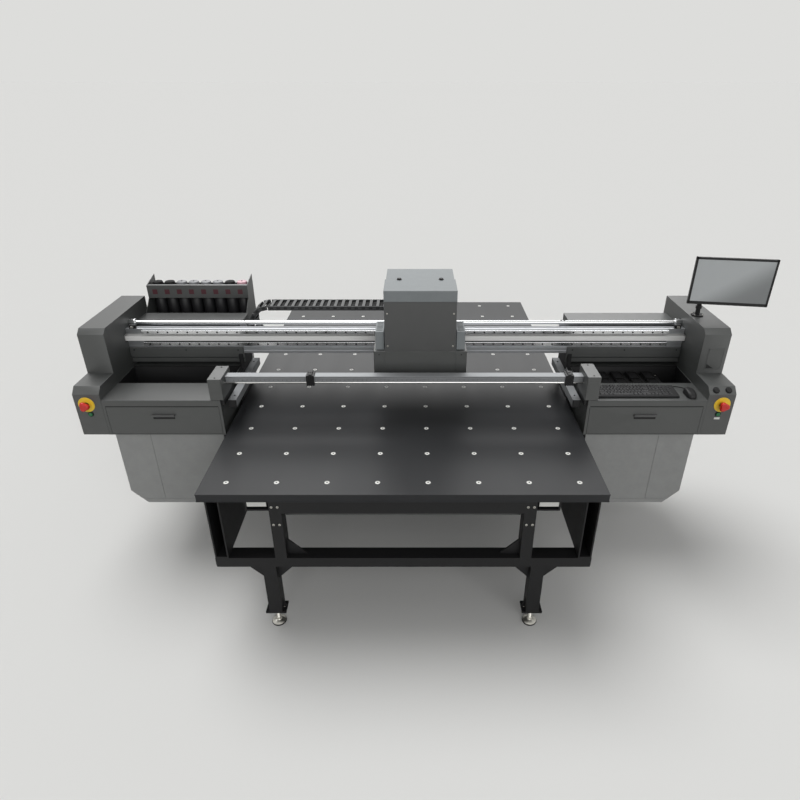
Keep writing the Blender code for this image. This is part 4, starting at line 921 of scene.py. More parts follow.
def make_beam_trim():
    """The strip and the folded covers under the lower rail, and black strips of painted shade in
    the beam's gaps and slots.
    """
    mesh = bmesh.new()
    # Black strips above and below the belt, and under each rail: painted shade of the gaps there
    for low, high in ((1.3060, 1.3126), (1.2563, 1.2640), (1.2290, 1.2356)):
        block(mesh, (-1.60, 1.60), (BEAM_FRONT - 0.0012, BEAM_FRONT + 0.0008), (low, high), 0)
    place("beam_seals", mesh, "gantry", ["rubber"], bevel=0.0003)
    mesh = bmesh.new()
    strip = [
        (-0.3058, 1.182), (-0.3058, 1.222), (-0.3125, 1.222), (-0.3125, 1.206),
        (-0.3095, 1.204), (-0.3095, 1.200), (-0.3125, 1.198), (-0.3125, 1.182),
    ]
    prism(mesh, strip, -0.995, 0.995, 0)
    place("beam_lower_strip", mesh, "gantry", ["aluminium"], bevel=0.0006)
    for side, name in SIDES:
        mesh = bmesh.new()
        cover = [
            (-0.3058, 1.120), (-0.3058, 1.222), (-0.3150, 1.222), (-0.3175, 1.2195),
            (-0.3175, 1.158), (-0.3115, 1.150), (-0.3115, 1.124), (-0.3085, 1.120),
        ]
        prism(mesh, cover, side * 0.997, side * 1.697, 0)
        for x in (1.03, 1.35, 1.67):
            screw(mesh, (side * x, -0.3175, 1.205), FORWARD, 0.0045, 1, 2)
        place(
            f"beam_cover_{name}", mesh, "gantry", ["dark", "oxide", "hole"],
            bevel=0.0006,
        )
    mesh = bmesh.new()
    # Black strips along the top and the back of the beam: painted shade of its slots
    block(mesh, (-1.66, 1.66), (-0.288, -0.280), (1.3395, 1.3406))
    block(mesh, (-1.66, 1.66), (-0.2004, -0.1996), (1.212, 1.220))
    place("beam_slot_covers", mesh, "gantry", ["abs"], bevel=0.0002)
    mesh = bmesh.new()
    # Limit switches and their flags at the ends of the upper rail
    for side, _ in SIDES:
        x = side * 1.655
        block(mesh, about(x, 0.02), (-0.306, -0.290), (1.3398, 1.362), 0)
        block(mesh, about(x, 0.008), (-0.318, -0.304), (1.346, 1.356), 1)
    place("rail_end_switches", mesh, "gantry", ["abs", "zinc"], bevel=0.001)


def make_carriage_drive():
    soften("carriage_belt", ["belt"], 0.0)
    for side, node in ((-1, "idler_pulley"), (1, "drive_pulley")):
        spot = (side * CONSOLE_MIDDLE, -0.3075, 1.285)
        profile = [
            (-0.0602, 0.006), (-0.019, 0.006), (-0.019, 0.0215), (-0.0185, 0.022),
            (-0.0172, 0.022), (-0.0168, 0.018), (0.0168, 0.018), (0.0172, 0.022),
            (0.0185, 0.022), (0.019, 0.0215), (0.019, 0.010), (0.0188, 0.009),
        ]
        mesh = bmesh.new()
        turned(mesh, profile, spot, "Z", 48, 0)
        screw(mesh, (spot[0], spot[1], 1.3038), "Z", 0.005, 1, 1)
        place(f"{node}_made", mesh, node, ["aluminium", "oxide"], (node,))
    low, high = machine_box("carriage_motor")
    mesh = bmesh.new()
    x, y = (low.x, high.x), (low.y, high.y)
    block(mesh, x, y, (high.z - 0.010, high.z), 1)
    soft = 0.004
    block(mesh, within(x, soft), within(y, soft), (low.z + 0.03, high.z - 0.009), 0)
    block(mesh, x, y, (low.z, low.z + 0.031), 0)
    for n in range(5):
        z = low.z + 0.036 + n * 0.013
        block(mesh, within(x, 0.002), within(y, 0.002), (z, z + 0.005), 0)
    place(
        "carriage_motor_made", mesh, "gantry", ["abs", "aluminium"],
        ("carriage_motor",), 0.001,
    )


def make_rear_rod():
    end = 1.6997
    profile = [
        (-end, 0.0235), (-end + 0.0008, 0.024), (-end + 0.039, 0.024), (-end + 0.040, 0.023),
        (-end + 0.040, 0.0125), (end - 0.040, 0.0125), (end - 0.040, 0.023),
        (end - 0.039, 0.024), (end - 0.0008, 0.024), (end, 0.0235),
    ]
    mesh = bmesh.new()
    turned(mesh, profile, (0, ROD_Y, ROD_HEIGHT), "X", 40, 0)
    for side, _ in SIDES:
        for dx in (0.010, 0.030):
            screw(mesh, (side * (end - dx), ROD_Y, 1.378), "Z", 0.003, 1, 1)
    place("rear_rod_made", mesh, "gantry", ["steel", "oxide"], ("rear_rod",))
    # Saddles that carry the rod from the foot of the beam, each with two screws through the rod
    mesh = bmesh.new()
    for x in (-1.0, 0.97):
        block(mesh, about(x, 0.018), (-0.247, -0.223), (1.2549, 1.352), 0)
        for dx in (-0.010, 0.010):
            screw(mesh, (x + dx, ROD_Y, 1.3655), "Z", 0.0048, 1, 2)
    place("rod_saddles", mesh, "gantry", ["aluminium", "oxide", "hole"], bevel=0.001)


# Covers


def make_cabinets():
    for side, name in SIDES:
        x = sorted((side * 1.034, side * 1.6957))
        # Faces inside the cabinet and inside its open well take the near-black frame coat, painted
        # shade of the recesses
        well = ((x[0] - 0.001, -0.5465, 0.94), (x[1] + 0.001, -0.3115, 1.0915))
        inside = ((x[0] - 0.001, -0.762, 0.872), (x[1] + 0.001, -0.003, 1.0885))
        soften(
            f"cabinet_{name}", ["dark", "frame"], sizes().fold,
            [(1, inside), (1, well)],
        )
        middle = side * CABINET_MIDDLE
        mesh = bmesh.new()
        # Angled slats in the rear vent
        for n in range(sizes().slats):
            z = 0.925 + n * (0.13 / sizes().slats)
            slat = [(-0.0005, z), (-0.014, z + 0.013), (-0.0155, z + 0.0115), (-0.002, z - 0.002)]
            prism(mesh, slat, middle - 0.150, middle + 0.150, 0, 0)
        # A screwed service panel on the back of the tower
        block(mesh, about(middle, 0.31), (-0.001, 0.0015), (1.10, 1.172), 0)
        for dx in (-0.295, 0.295):
            for z in (1.112, 1.160):
                screw(mesh, (middle + dx, 0.0015, z), BACKWARD, 0.0035, 1, 2)
        # Lip over the drawer and a fold line under it
        block(mesh, about(middle, 0.333), skin(GANTRY_FRONT, 0.0012), (1.056, 1.0885), 0)
        # Near-black strip in the gap over the drawer, painted shade of the gap
        block(mesh, about(middle, 0.318), skin(GANTRY_FRONT, 0.0003), (1.0498, 1.0562), 2)
        place(
            f"cabinet_{name}_fittings", mesh, "gantry", ["dark", "oxide", "hole"],
            bevel=0.0008,
        )
        # Rubber edging round the open well
        mesh = bmesh.new()
        for y0, y1 in ((-0.5485, -0.5445), (-0.3135, -0.3095)):
            block(mesh, (x[0], x[1]), (y0, y1), (1.0895, 1.0935), 0)
        place(f"cabinet_{name}_edging", mesh, "gantry", ["rubber"], bevel=0.001)


def make_lower_boxes():
    """Light grey boxes with a hinged door in front, seen as seams round its panels."""
    for side, name in SIDES:
        soften(f"lower_box_{name}", ["light"], sizes().fold)
        inner, seam, outer = 1.052, 1.475, 1.676
        front = -0.745
        proud = 0.0022
        gap = 0.0025
        mesh = bmesh.new()
        y = skin(front, proud)
        shelf = 0.398
        block(mesh, (side * inner, side * (seam - gap)), y, (shelf + gap, 0.864), 0)
        outline = [
            (side * (seam + gap), shelf + gap),
            (side * (1.6787 - (0.455 - shelf - gap) - 0.002), shelf + gap),
            (side * outer, 0.459),
            (side * outer, 0.864),
            (side * (seam + gap), 0.864),
        ]
        prism(mesh, outline, y[0], y[1], 1, 0)
        lower = [
            (side * inner, 0.369),
            (side * 1.585, 0.369),
            (side * (1.585 + shelf - gap - 0.369), shelf - gap),
            (side * inner, shelf - gap),
        ]
        prism(mesh, lower, y[0], y[1], 1, 0)
        # Rear service door with two quarter-turn locks
        back = (-0.0215, -0.0178)
        block(mesh, (side * 1.08, side * 1.60), back, (0.47, 0.84), 0)
        for z in (0.55, 0.76):
            lock = [(-0.001, 0.010), (0.003, 0.010), (0.0045, 0.008)]
            turned(mesh, lock, (side * 1.12, back[1], z), "Y", 24, 1)
            # Each lock's slot is a near-black strip of painted shade
            block(mesh, (side * 1.1185, side * 1.1215), (-0.0134, -0.0125), about(z, 0.006), 2)
        place(
            f"lower_box_{name}_doors", mesh, "gantry", ["light", "zinc", "hole"],
            bevel=0.0008,
        )


def make_drawers():
    front = GANTRY_FRONT
    for side, name in SIDES:
        node = f"drawer_{name}"
        middle = side * CABINET_MIDDLE
        x = about(middle, 0.08)
        pull = ((x[0], front - 0.02, 0.98), (x[1], front - 0.0002, 1.02))
        soften(node, ["dark", "panel"], 0.0015, [(1, pull)])
        mesh = bmesh.new()
        # Recessed backing under the pull, and the telescopic runners
        block(mesh, about(middle, 0.062), skin(front, 0.0008), (0.972, 0.991), 0)
        for outer, inward in ((1.0470, 1), (1.6829, -1)):
            runner = (side * (outer + inward * 0.0045), side * (outer + inward * 0.0095))
            block(mesh, runner, (-0.75, -0.575), (0.925, 0.960), 1)
        place(f"{node}_fittings", mesh, node, ["frame", "zinc"], bevel=0.0005)


def make_end_housings():
    panel = [(-0.555, 0.885), (-0.555, 1.385), (-0.525, 1.415), (0.025, 1.415), (0.025, 0.885)]
    corners = (-0.54, 0.90), (-0.54, 1.37), (0.01, 0.90), (0.01, 1.40), (-0.27, 0.90), (-0.27, 1.40)
    gland = [(0.0, 0.017), (0.006, 0.017), (0.006, 0.013), (0.018, 0.012), (0.020, 0.008)]
    for side, name in SIDES:
        node = f"end_housing_{name}"
        soften(node, ["dark"], 0.0045)
        outer = side * HOUSING_OUTER
        mesh = bmesh.new()
        # The removable side panel with its screws
        prism(mesh, panel, outer - side * 0.001, outer + side * 0.0015, 0, 0)
        for y, z in corners:
            screw(mesh, (outer + side * 0.0015, y, z), (side, 0, 0), 0.004, 1, 2)
        # Vent slots low on the side, drawn as near-black strips of painted shade
        for n in range(7):
            slot = about(-0.36 + n * 0.03, 0.005)
            block(mesh, (outer, outer + side * 0.0018), slot, (0.95, 1.05), 2)
        # Back panel with a cable gland
        middle, back = side * CONSOLE_MIDDLE, 0.0450
        block(mesh, about(middle, 0.06), (0.0425, back), (0.90, 1.39), 0)
        for z in (0.915, 1.375):
            for dx in (-0.05, 0.05):
                screw(mesh, (middle + dx, back, z), BACKWARD, 0.0035, 1, 2)
        turned(mesh, gland, (middle, back, 0.97), "Y", 24, 2)
        finishes = ["dark", "oxide", "hole"]
        place(f"{node}_panels", mesh, "gantry", finishes, bevel=0.0008)
    make_front_hatch(1, "right")


def make_front_hatch(side, name):
    """The recessed hatch in the front of a housing, with its finger pocket."""
    front, rim = -0.562, 0.003
    x0, x1 = side * 1.738, side * 1.832
    low, high = 1.186, 1.322
    mesh = bmesh.new()
    for x, z in (
        ((x0, x1), (low, low + rim)),
        ((x0, x1), (high - rim, high)),
        ((x0, x0 + side * rim), (low, high)),
        ((x1 - side * rim, x1), (low, high)),
    ):
        block(mesh, x, skin(front, 0.0012), z, 1)
    inner = (x0 + side * 0.006, x1 - side * 0.006)
    block(mesh, inner, skin(front, 0.0020), (1.192, 1.316), 0)
    # The finger pocket is a near-black triangle of painted shadow inside the recess
    pocket = [(x0 + side * 0.008, 1.196), (x0 + side * 0.052, 1.196), (x0 + side * 0.008, 1.224)]
    prism(mesh, pocket, front - 0.0026, front - 0.0015, 1, 2)
    finishes = ["dark", "panel", "hole"]
    place(f"housing_hatch_{name}", mesh, "gantry", finishes, bevel=0.0006)


# Controls


def make_controls():
    disc = sizes().disc_radius
    rim = [(-0.0005, disc), (0.0012, disc), (0.0026, disc * 0.97), (0.0026, 0.020), (0.0030, 0.019)]
    collar = [(0.0, 0.0165), (0.0062, 0.0165), (0.0072, 0.0155)]
    knob = [
        (0.0140, 0.0200), (0.0146, 0.0225), (0.0200, 0.0288), (0.0280, 0.0305),
        (0.0340, 0.0292), (0.0385, 0.0245), (0.0400, 0.0170), (0.0392, 0.0090),
    ]
    for side, name in SIDES:
        x = side * CONSOLE_MIDDLE
        spot = (x + side * 0.010, GANTRY_FRONT, STOP_HEIGHT)
        mesh = bmesh.new()
        turned(mesh, rim, spot, FORWARD, 48, 0)
        turned(mesh, collar, spot, FORWARD, 36, 1)
        place(f"stop_disc_{name}", mesh, "gantry", ["yellow", "abs"], bevel=0.0004)
        mesh = bmesh.new()
        turned(mesh, knob, spot, FORWARD, 72, 0, 0.13)
        peg(mesh, (-0.012, 0.0150), 0.0078, spot, FORWARD, 24, 1)
        node = f"emergency_stop_{name}"
        place(f"{node}_made", mesh, node, ["red", "abs"], (node,), 0.0008)
        make_start_button(side, name, x)
    make_console_buttons()


def make_start_button(side, name, x):
    spot = (x, GANTRY_FRONT, START_HEIGHT)
    mesh = bmesh.new()
    ring = [
        (-0.0005, 0.0165), (0.0022, 0.0165), (0.0034, 0.0152), (0.0034, 0.0136), (0.001, 0.0134),
    ]
    turned(mesh, ring, spot, FORWARD, 36, 0)
    if side > 0:
        # A bare white plate under the right button
        block(mesh, about(x, 0.016), skin(GANTRY_FRONT, 0.0012), (0.971, 0.984), 1)
    place(f"start_bezel_{name}", mesh, "gantry", ["oxide", "insert"], bevel=0.0003)
    mesh = bmesh.new()
    cap = [(-0.012, 0.0123), (0.0060, 0.0123), (0.0076, 0.0110), (0.0080, 0.0080)]
    turned(mesh, cap, spot, FORWARD, 36, 0)
    node = f"start_button_{name}"
    place(f"{node}_made", mesh, node, ["green"], (node,))


def make_console_buttons():
    """Two black buttons on the slope of the right console."""
    half = 0.018
    axis = (0, -1, 1)
    ring = [
        (-0.0005, 0.0190), (0.0020, 0.0190), (0.0034, 0.0175), (0.0034, 0.0156), (0.001, 0.0154),
    ]
    cap = [
        (-0.012, 0.0143), (0.0058, 0.0143), (0.0076, 0.0128), (0.0066, 0.0095), (0.0062, 0.004),
    ]
    for dx, name in ((-0.035, "inner"), (0.035, "outer")):
        spot = (CONSOLE_MIDDLE + dx, GANTRY_FRONT + half, 1.165 - half)
        mesh = bmesh.new()
        turned(mesh, ring, spot, axis, 40, 0)
        place(f"console_bezel_{name}", mesh, "gantry", ["oxide"])
        mesh = bmesh.new()
        turned(mesh, cap, spot, axis, 40, 0)
        node = f"console_button_{name}"
        place(f"{node}_made", mesh, node, ["abs"], (node,))


# Static bar


def make_static_bar():
    x = 1.0095
    front, back, bottom, top = -0.689, -0.638, 1.1700, 1.2040
    outline = [
        (front, bottom), (back, bottom), (back, 1.1835), (back - 0.006, 1.1835),
        (back - 0.006, 1.1905), (back, 1.1905), (back, top), (front, top), (front, 1.1985),
        (front + 0.004, 1.1975), (front + 0.004, 1.1885), (front + 0.0015, 1.1880),
        (front + 0.0015, 1.1855), (front + 0.004, 1.1850), (front + 0.004, 1.1745), (front, 1.1735),
    ]
    mesh = bmesh.new()
    prism(mesh, outline, -x, x, 0, 0)
    # A bright tube closes the lower front edge, and a black emitter channel lies behind it
    tube = [(-x, 0.0064), (0.001 - x, 0.0068), (x - 0.001, 0.0068), (x, 0.0064)]
    turned(mesh, tube, (0, front + 0.0070, 1.1640), "X", 24, 2)
    block(mesh, (-x, x), (front + 0.014, back - 0.004), (1.1572, 1.1702), 1)
    node, finishes = "static_bar", ["matt_tube", "abs", "bright"]
    place(f"{node}_made", mesh, "gantry", finishes, (node,), 0.0006)
    mesh = bmesh.new()
    for pin in frange(-0.97, 0.97, 0.025):
        peg(mesh, (-0.001, 0.0008), 0.0021, (pin, front + 0.004, 1.1798), FORWARD, 8, 0)
    place("emitter_pins", mesh, "gantry", ["hole"])
    for clamp_x, name in ((-0.53, "left"), (0.93, "right")):
        mesh = bmesh.new()
        for n in range(4):
            rib = clamp_x - 0.0225 + n * 0.0120
            block(mesh, (rib, rib + 0.009), (-0.697, -0.630), (1.149, 1.212), 0)
        block(mesh, about(clamp_x, 0.021), (-0.694, -0.633), (1.152, 1.209), 0)
        block(mesh, about(clamp_x, 0.009), (-0.690, -0.637), (1.208, 1.217), 0)
        screw(mesh, (clamp_x, -0.664, 1.217), "Z", 0.0055, 1, 1)
        place(f"bar_clamp_{name}", mesh, "gantry", ["abs", "oxide"], bevel=0.0015)
    make_end_blocks()
    make_side_bars()


def make_end_blocks():
    collar = [(0.0, 0.0215), (0.016, 0.0215), (0.018, 0.019), (0.018, 0.0150)]
    for side, name in SIDES:
        node = f"bar_end_block_{name}"
        soften(node, ["dark"], sizes().fold)
        low, high = machine_box(node)
        middle = (low.x + high.x) / 2
        mesh = bmesh.new()
        # A turned collar holds each end of the bar
        turned(mesh, collar, (side * 1.0097, -0.6635, 1.1805), (-side, 0, 0), 32, 2)
        # A bare plate on the front
        block(mesh, about(middle, 0.029), skin(GANTRY_FRONT, 0.0010), (1.135, 1.203), 0)
        for y in (-0.745, -0.605):
            screw(mesh, (middle, y, high.z), "Z", 0.0045, 2, 3)
        x, z = (side * 1.0125, side * 1.0295), (1.0560, 1.0915)
        bracket = [(x[0], z[0]), (x[0], z[1]), (x[1], z[1]), (x[1], z[0])]
        prism(mesh, bracket, -0.752, -0.600, 1, 4)
        finishes = ["dark", "zinc", "oxide", "hole", "abs"]
        place(f"{node}_fittings", mesh, "gantry", finishes, bevel=0.0008)


def make_side_bars():
    for _, name in SIDES:
        node = f"side_bar_{name}"
        x, y, z = spans(node)
        mesh = bmesh.new()
        block(mesh, x, y, z, 0)
        for screw_y in (-0.655, -0.185):
            screw(mesh, ((x[0] + x[1]) / 2, screw_y, z[1]), "Z", 0.005, 1, 2)
        finishes = ["matt_tube", "oxide", "hole"]
        place(f"{node}_made", mesh, "gantry", finishes, (node,), 0.0022)
        mesh = bmesh.new()
        block(mesh, x, (y[0] - 0.004, y[0] - 0.0002), z, 0)
        block(mesh, within(x, 0.003), (y[0] - 0.006, y[0] - 0.0035), within(z, 0.003), 0)
        place(f"{node}_cap", mesh, "gantry", ["abs"], bevel=0.001)


# Carriage


def make_slide_plate():
    blocks, bolts = [], bmesh.new()
    for middle in RAIL_HEIGHTS.values():
        for side in (-1, 1):
            outer = CARRIAGE_X + side * 0.19
            x = sorted((outer - side * 0.071, outer - side * 0.004))
            low, high = (x[0], -0.3299, middle - 0.0221), (x[1], -0.3089, middle + 0.0221)
            blocks.append((1, (low, high)))
            for dx in (0.017, 0.057):
                for dz in (-0.012, 0.012):
                    spot = (CARRIAGE_X + side * (0.19 - dx), -0.3452, middle + dz)
                    peg(bolts, (-0.0045, -0.0002), 0.0040, spot, FORWARD, 16, 0)
    soften("slide_plate", ["aluminium", "steel"], 0.001, blocks)
    for x in (-0.07, 0.0, 0.07):
        for y in (-0.06, 0.01):
            screw(bolts, (CARRIAGE_X - 0.06 + x, y, 1.40), "Z", 0.004, 0, 1)
    place("slide_plate_screws", bolts, "carriage_slide", ["oxide", "hole"])


def make_skirt():
    x, front = CARRIAGE_X, CARRIAGE_FRONT
    soften("carriage_skirt", ["dark"], sizes().fold)
    mesh = bmesh.new()
    # Three front panels with open seams in line with the hood's sides
    seam = HOOD_HALF + 0.001
    y = skin(front, 0.0018)
    z = (1.134, 1.306)
    gap = 0.0018
    block(mesh, (x - seam + gap, x + seam - gap), y, z, 0)
    for side in (-1, 1):
        block(mesh, (x + side * (seam + gap), x + side * 0.2635), y, z, 0)
        for pz in (1.150, 1.290):
            screw(mesh, (x + side * 0.235, y[0], pz), FORWARD, 0.0035, 1, 2)
        # Side panels with a louvre for the lamp's cooling air, its slots drawn as near-black strips
        # of painted shade
        outer = x + side * 0.2665
        for n in range(6):
            py = -0.53 + n * 0.028
            slot = (outer - side * 0.001, outer + side * 0.0012)
            block(mesh, slot, about(py, 0.004), (1.19, 1.27), 2)
    finishes = ["dark", "oxide", "hole"]
    place("skirt_panels", mesh, "carriage", finishes, bevel=0.0008)
    mesh = bmesh.new()
    # Brush strip round the bottom edge
    ends, brush = (front + 0.005, CARRIAGE_BACK - 0.005), (1.1265, z[0])
    for y in ((front + 0.001, ends[0]), (ends[1], CARRIAGE_BACK - 0.001)):
        block(mesh, about(x, 0.262), y, brush, 0)
    for side in (-1, 1):
        block(mesh, (x + side * 0.261, x + side * 0.265), ends, brush, 0)
    place("skirt_brush", mesh, "carriage", ["rubber"], bevel=0.0008)


def make_hood():
    """Folded hood: a light shell, a lip round its front and a darker screwed front panel."""
    x, front, back = CARRIAGE_X, CARRIAGE_FRONT, -0.14
    bottom, step, top = 1.3103, 1.44, 1.665
    half, split = HOOD_HALF, -0.362
    mesh = bmesh.new()
    # Front half of the shell, a little wider than the rear half
    outline = [(front + 0.006, bottom), (front + 0.006, top), (split, top), (split, bottom)]
    prism(mesh, outline, x - half, x + half, 0, 0)
    rear = [
        (split + 0.0022, bottom), (split + 0.0022, top - 0.0035), (back, top - 0.0035),
        (back, step), (CARRIAGE_BACK, step), (CARRIAGE_BACK, bottom),
    ]
    prism(mesh, rear, x - half + 0.005, x + half - 0.005, 0, 0)
    block(mesh, within(about(x, half), 0.008), about(split, 0.01), (bottom, top - 0.008), 0)
    # Lip round the top of the front
    block(mesh, about(x, half), (front, front + 0.007), (1.607, top), 0)
    block(mesh, about(x, half), skin(front, 0.0012, 0.002), (1.6035, 1.6095), 0)
    node = "carriage_hood"
    place(f"{node}_made", mesh, "carriage", ["hood"], (node,), sizes().fold)
    make_hood_panel(x, front, back, bottom, top, split)


def make_hood_panel(x, front, back, bottom, top, split):
    """The screwed front panel, the knobs on the seam of the top, and the vents in the back."""
    mesh = bmesh.new()
    panel = within(about(x, HOOD_HALF), 0.0015)
    block(mesh, panel, (front, front + 0.007), (bottom + 0.001, 1.6025), 0)
    for side in (-1, 1):
        for z in (1.342, 1.535):
            screw(mesh, (x + side * 0.185, front, z), FORWARD, 0.0050, 1, 2)
    # Black quarter-turn knobs
    knob = [
        (-0.001, 0.0150), (0.0020, 0.0150), (0.0025, 0.0125), (0.0080, 0.0118), (0.0092, 0.0100),
    ]
    for side in (-1, 1):
        knob_x, knob_y = x + side * 0.120, split - 0.008
        turned(mesh, knob, (knob_x, knob_y, top), "Z", 32, 3)
        # The groove across each knob is a near-black strip of painted shade
        groove = (top + 0.0085, top + 0.0096)
        block(mesh, about(knob_x, 0.0095), about(knob_y, 0.0015), groove, 2)
    # Vent slots, drawn as near-black strips of painted shade, and screws in the back
    for n in range(9):
        z = 1.475 + n * 0.018
        block(mesh, about(x, 0.12), (back - 0.0005, back + 0.0010), (z, z + 0.007), 2)
    for side in (-1, 1):
        for z in (1.46, 1.645):
            screw(mesh, (x + side * 0.18, back, z), BACKWARD, 0.0040, 1, 2)
    finishes = ["panel", "zinc", "hole", "abs"]
    place("hood_front_panel", mesh, "carriage", finishes, bevel=0.0007)


def make_lamps():
    """Each UV lamp: a housing, a bright reflector frame, a quartz window and slots in its top,
    drawn as near-black strips of painted shade.
    """
    for _, name in SIDES:
        node = f"uv_lamp_{name}"
        x, y, (low, high) = spans(node)
        mesh = bmesh.new()
        block(mesh, x, y, (low + 0.012, high), 0)
        block(mesh, within(x, 0.003), within(y, 0.003), (low + 0.004, low + 0.013), 2)
        block(mesh, within(x, 0.008), within(y, 0.010), (low, low + 0.005), 1)
        for n in range(7):
            slot = about(y[0] + 0.025 + n * 0.02, 0.003)
            block(mesh, within(x, 0.008), slot, (high - 0.0005, high + 0.0006), 3)
        finishes = ["hood", "quartz", "aluminium", "hole"]
        place(f"{node}_made", mesh, "carriage", finishes, (node,), 0.0015)


def head_spots(middle_x, middle_y):
    """The middles of the eight print heads or caps, in four columns and two rows."""
    return [
        (middle_x + (column - 1.5) * HEAD_PITCH_X, middle_y + (row - 0.5) * HEAD_PITCH_Y)
        for column in range(4)
        for row in range(2)
    ]


def make_print_heads():
    """Head bodies, their steel nozzle plates with two rows of nozzles, and two ink ports each."""
    soften("print_head_plate", ["aluminium"], 0.0006)
    middle_y = (-0.573 + -0.3503) / 2
    foot = 1.1960
    port = [(0.0, 0.005), (0.012, 0.005), (0.012, 0.0035), (0.022, 0.0030)]
    mesh = bmesh.new()
    for x, y in head_spots(CARRIAGE_X, middle_y):
        block(mesh, about(x, 0.0186), about(y, 0.0406), (1.1395, foot), 0)
        block(mesh, about(x, 0.0170), about(y, 0.0390), (1.1254, 1.1262), 1)
        # Each row of nozzles is a near-black line of painted shade
        for dx in (-0.005, 0.005):
            block(mesh, about(x + dx, 0.0006), about(y, 0.034), (1.1251, 1.1256), 2)
        for dy in (-0.02, 0.02):
            turned(mesh, port, (x, y + dy, foot), "Z", 16, 0)
    place("print_heads", mesh, "carriage", ["abs", "steel", "hole"], bevel=0.0006)


# Energy chain


def chain_link(mesh, matrix, pitch):
    """One link: two side plates with a window each, where a near-black sheet stands as painted
    shade of the inside, and crossbars.
    """
    half, wide = 0.0138, 0.068
    reach = pitch / 2
    window = (-half + 0.005, half - 0.005)
    made = []
    for side in (-1, 1):
        y = (side * wide, side * (wide - 0.006))
        made += block(mesh, (-reach, reach), y, (half - 0.006, half), 0)
        made += block(mesh, (-reach, reach), y, (-half, -half + 0.006), 0)
        for x in (-1, 1):
            made += block(mesh, (x * reach, x * (reach - 0.011)), y, window, 0)
        inner = (side * (wide - 0.0015), side * (wide - 0.0045))
        made += block(mesh, (-reach + 0.01, reach - 0.01), inner, window, 1)
    for z in (-1, 1):
        bar = (z * half, z * (half - 0.004))
        made += block(mesh, (-0.009, 0.009), (-wide + 0.004, wide - 0.004), bar, 0)
    bmesh.ops.transform(mesh, matrix=matrix, verts=list(set(made)))


def make_chain():
    """The lower run and the bend ride on the gantry; the upper run rides on no body, with its place
    baked into its points.
    """
    radius, low_z, left = 0.106, 1.180, -1.0
    centre_x, centre_z = left + radius + 0.014, low_z + radius
    middle_y = -0.022
    pitch = sizes().chain_pitch
    mesh = bmesh.new()
    for x in frange(centre_x + pitch / 2, 0.0 - pitch / 2, pitch):
        chain_link(mesh, Matrix.Translation((x, middle_y, low_z)), pitch)
    count = round(math.pi * radius / pitch)
    for n in range(count):
        angle = math.pi / 2 + math.pi * (n + 0.5) / count
        spot = (centre_x + radius * math.cos(angle), middle_y, centre_z + radius * math.sin(angle))
        turn = Matrix.Rotation(-(angle + math.pi / 2), 4, "Y")
        chain_link(mesh, Matrix.Translation(spot) @ turn, pitch)
    # Bracket that fixes the end of the lower run
    block(mesh, (-0.012, 0.0), (-0.085, 0.041), (1.1662, 1.196), 2)
    place(
        "chain_lower_run", mesh, "gantry", ["chain", "chain_inside", "aluminium"],
        ("energy_chain",), 0.0008,
    )
    mesh = bmesh.new()
    end = CARRIAGE_X - 0.195 - 0.0003
    for x in frange(centre_x + pitch / 2, end - pitch / 2, pitch):
        chain_link(mesh, Matrix.Translation((x, middle_y, centre_z + radius)), pitch)
    for y in (-0.055, -0.035, -0.015, 0.008):
        # Ink tubes and cables that lie in the run, in the near-black of painted shade
        turned(mesh, [(centre_x, 0.005), (end, 0.005)], (0, y, centre_z + radius), "X", 10, 1)
    run = place("chain_upper_run", mesh, None, ["chain", "chain_inside"])
    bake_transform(run)


# Capping station and ink supply


def make_capping_station():
    """A tray with a sponge in a rubber-lipped cap for every print head."""
    x, y, (low, top) = spans("capping_station")
    middle_x, middle_y = (x[0] + x[1]) / 2, (y[0] + y[1]) / 2
    deck = 1.0403
    half_x, half_y, lip = 0.030, 0.0425, 0.0035
    mesh = bmesh.new()
    # The tray and its deck take the black plastic finish and the sponges a near-black: painted
    # shade of the deep well they sit in
    block(mesh, x, y, (low, deck - 0.012), 0)
    block(mesh, within(x, 0.004), within(y, 0.004), (deck - 0.0125, deck), 0)
    for x, y in head_spots(middle_x, middle_y):
        block(mesh, about(x, half_x), about(y, half_y), (deck - 0.001, top - 0.006), 0)
        rim = (top - 0.008, top)
        for side in (-1, 1):
            lip_x = (x + side * half_x, x + side * (half_x - lip))
            block(mesh, lip_x, about(y, half_y), rim, 1)
            lip_y = (y + side * half_y, y + side * (half_y - lip))
            block(mesh, about(x, half_x - lip), lip_y, rim, 1)
        block(mesh, about(x, 0.022), about(y, 0.034), (top - 0.0065, top - 0.003), 2)
    for side in (-1, 1):
        for dy in (-0.09, 0.09):
            screw(mesh, (middle_x + side * 0.203, middle_y + dy, deck), "Z", 0.0045, 3, 3)
    node, finishes = "capping_station", ["abs", "rubber", "sponge", "zinc"]
    place(f"{node}_made", mesh, node, finishes, (node,), 0.0015)


def make_ink_supply():
    """The rack with its vinyl squares and folded edges, and a bottle in each place."""
    soften("ink_rack", ["dark"], 0.0012)
    low, high = machine_box("ink_rack")
    middle = (low.x + high.x) / 2
    places = [middle + (n - 3.5) * BOTTLE_PITCH for n in range(BOTTLES)]
    mesh = bmesh.new()
    for x in places:
        block(mesh, about(x, 0.0160), (0.0922, 0.0931), (1.426, 1.458), 0)
    place("rack_patches", mesh, "gantry", ["vinyl"], bevel=0.0002)
    mesh = bmesh.new()
    # Turned-back top edge of the flange, and a sheet across the back
    inside = (low.x + 0.004, high.x - 0.004)
    block(mesh, inside, (0.0935, 0.118), (1.4820, 1.4852), 0)
    block(mesh, inside, (0.236, 0.240), (1.194, 1.460), 0)
    for side, x in ((-1, low.x), (1, high.x)):
        for z in (1.22, 1.29):
            screw(mesh, (x, 0.03, z), (side, 0, 0), 0.0035, 1, 1)
    place("rack_edges", mesh, "gantry", ["dark", "oxide"], bevel=0.0008)
    make_bottles(middle, places)


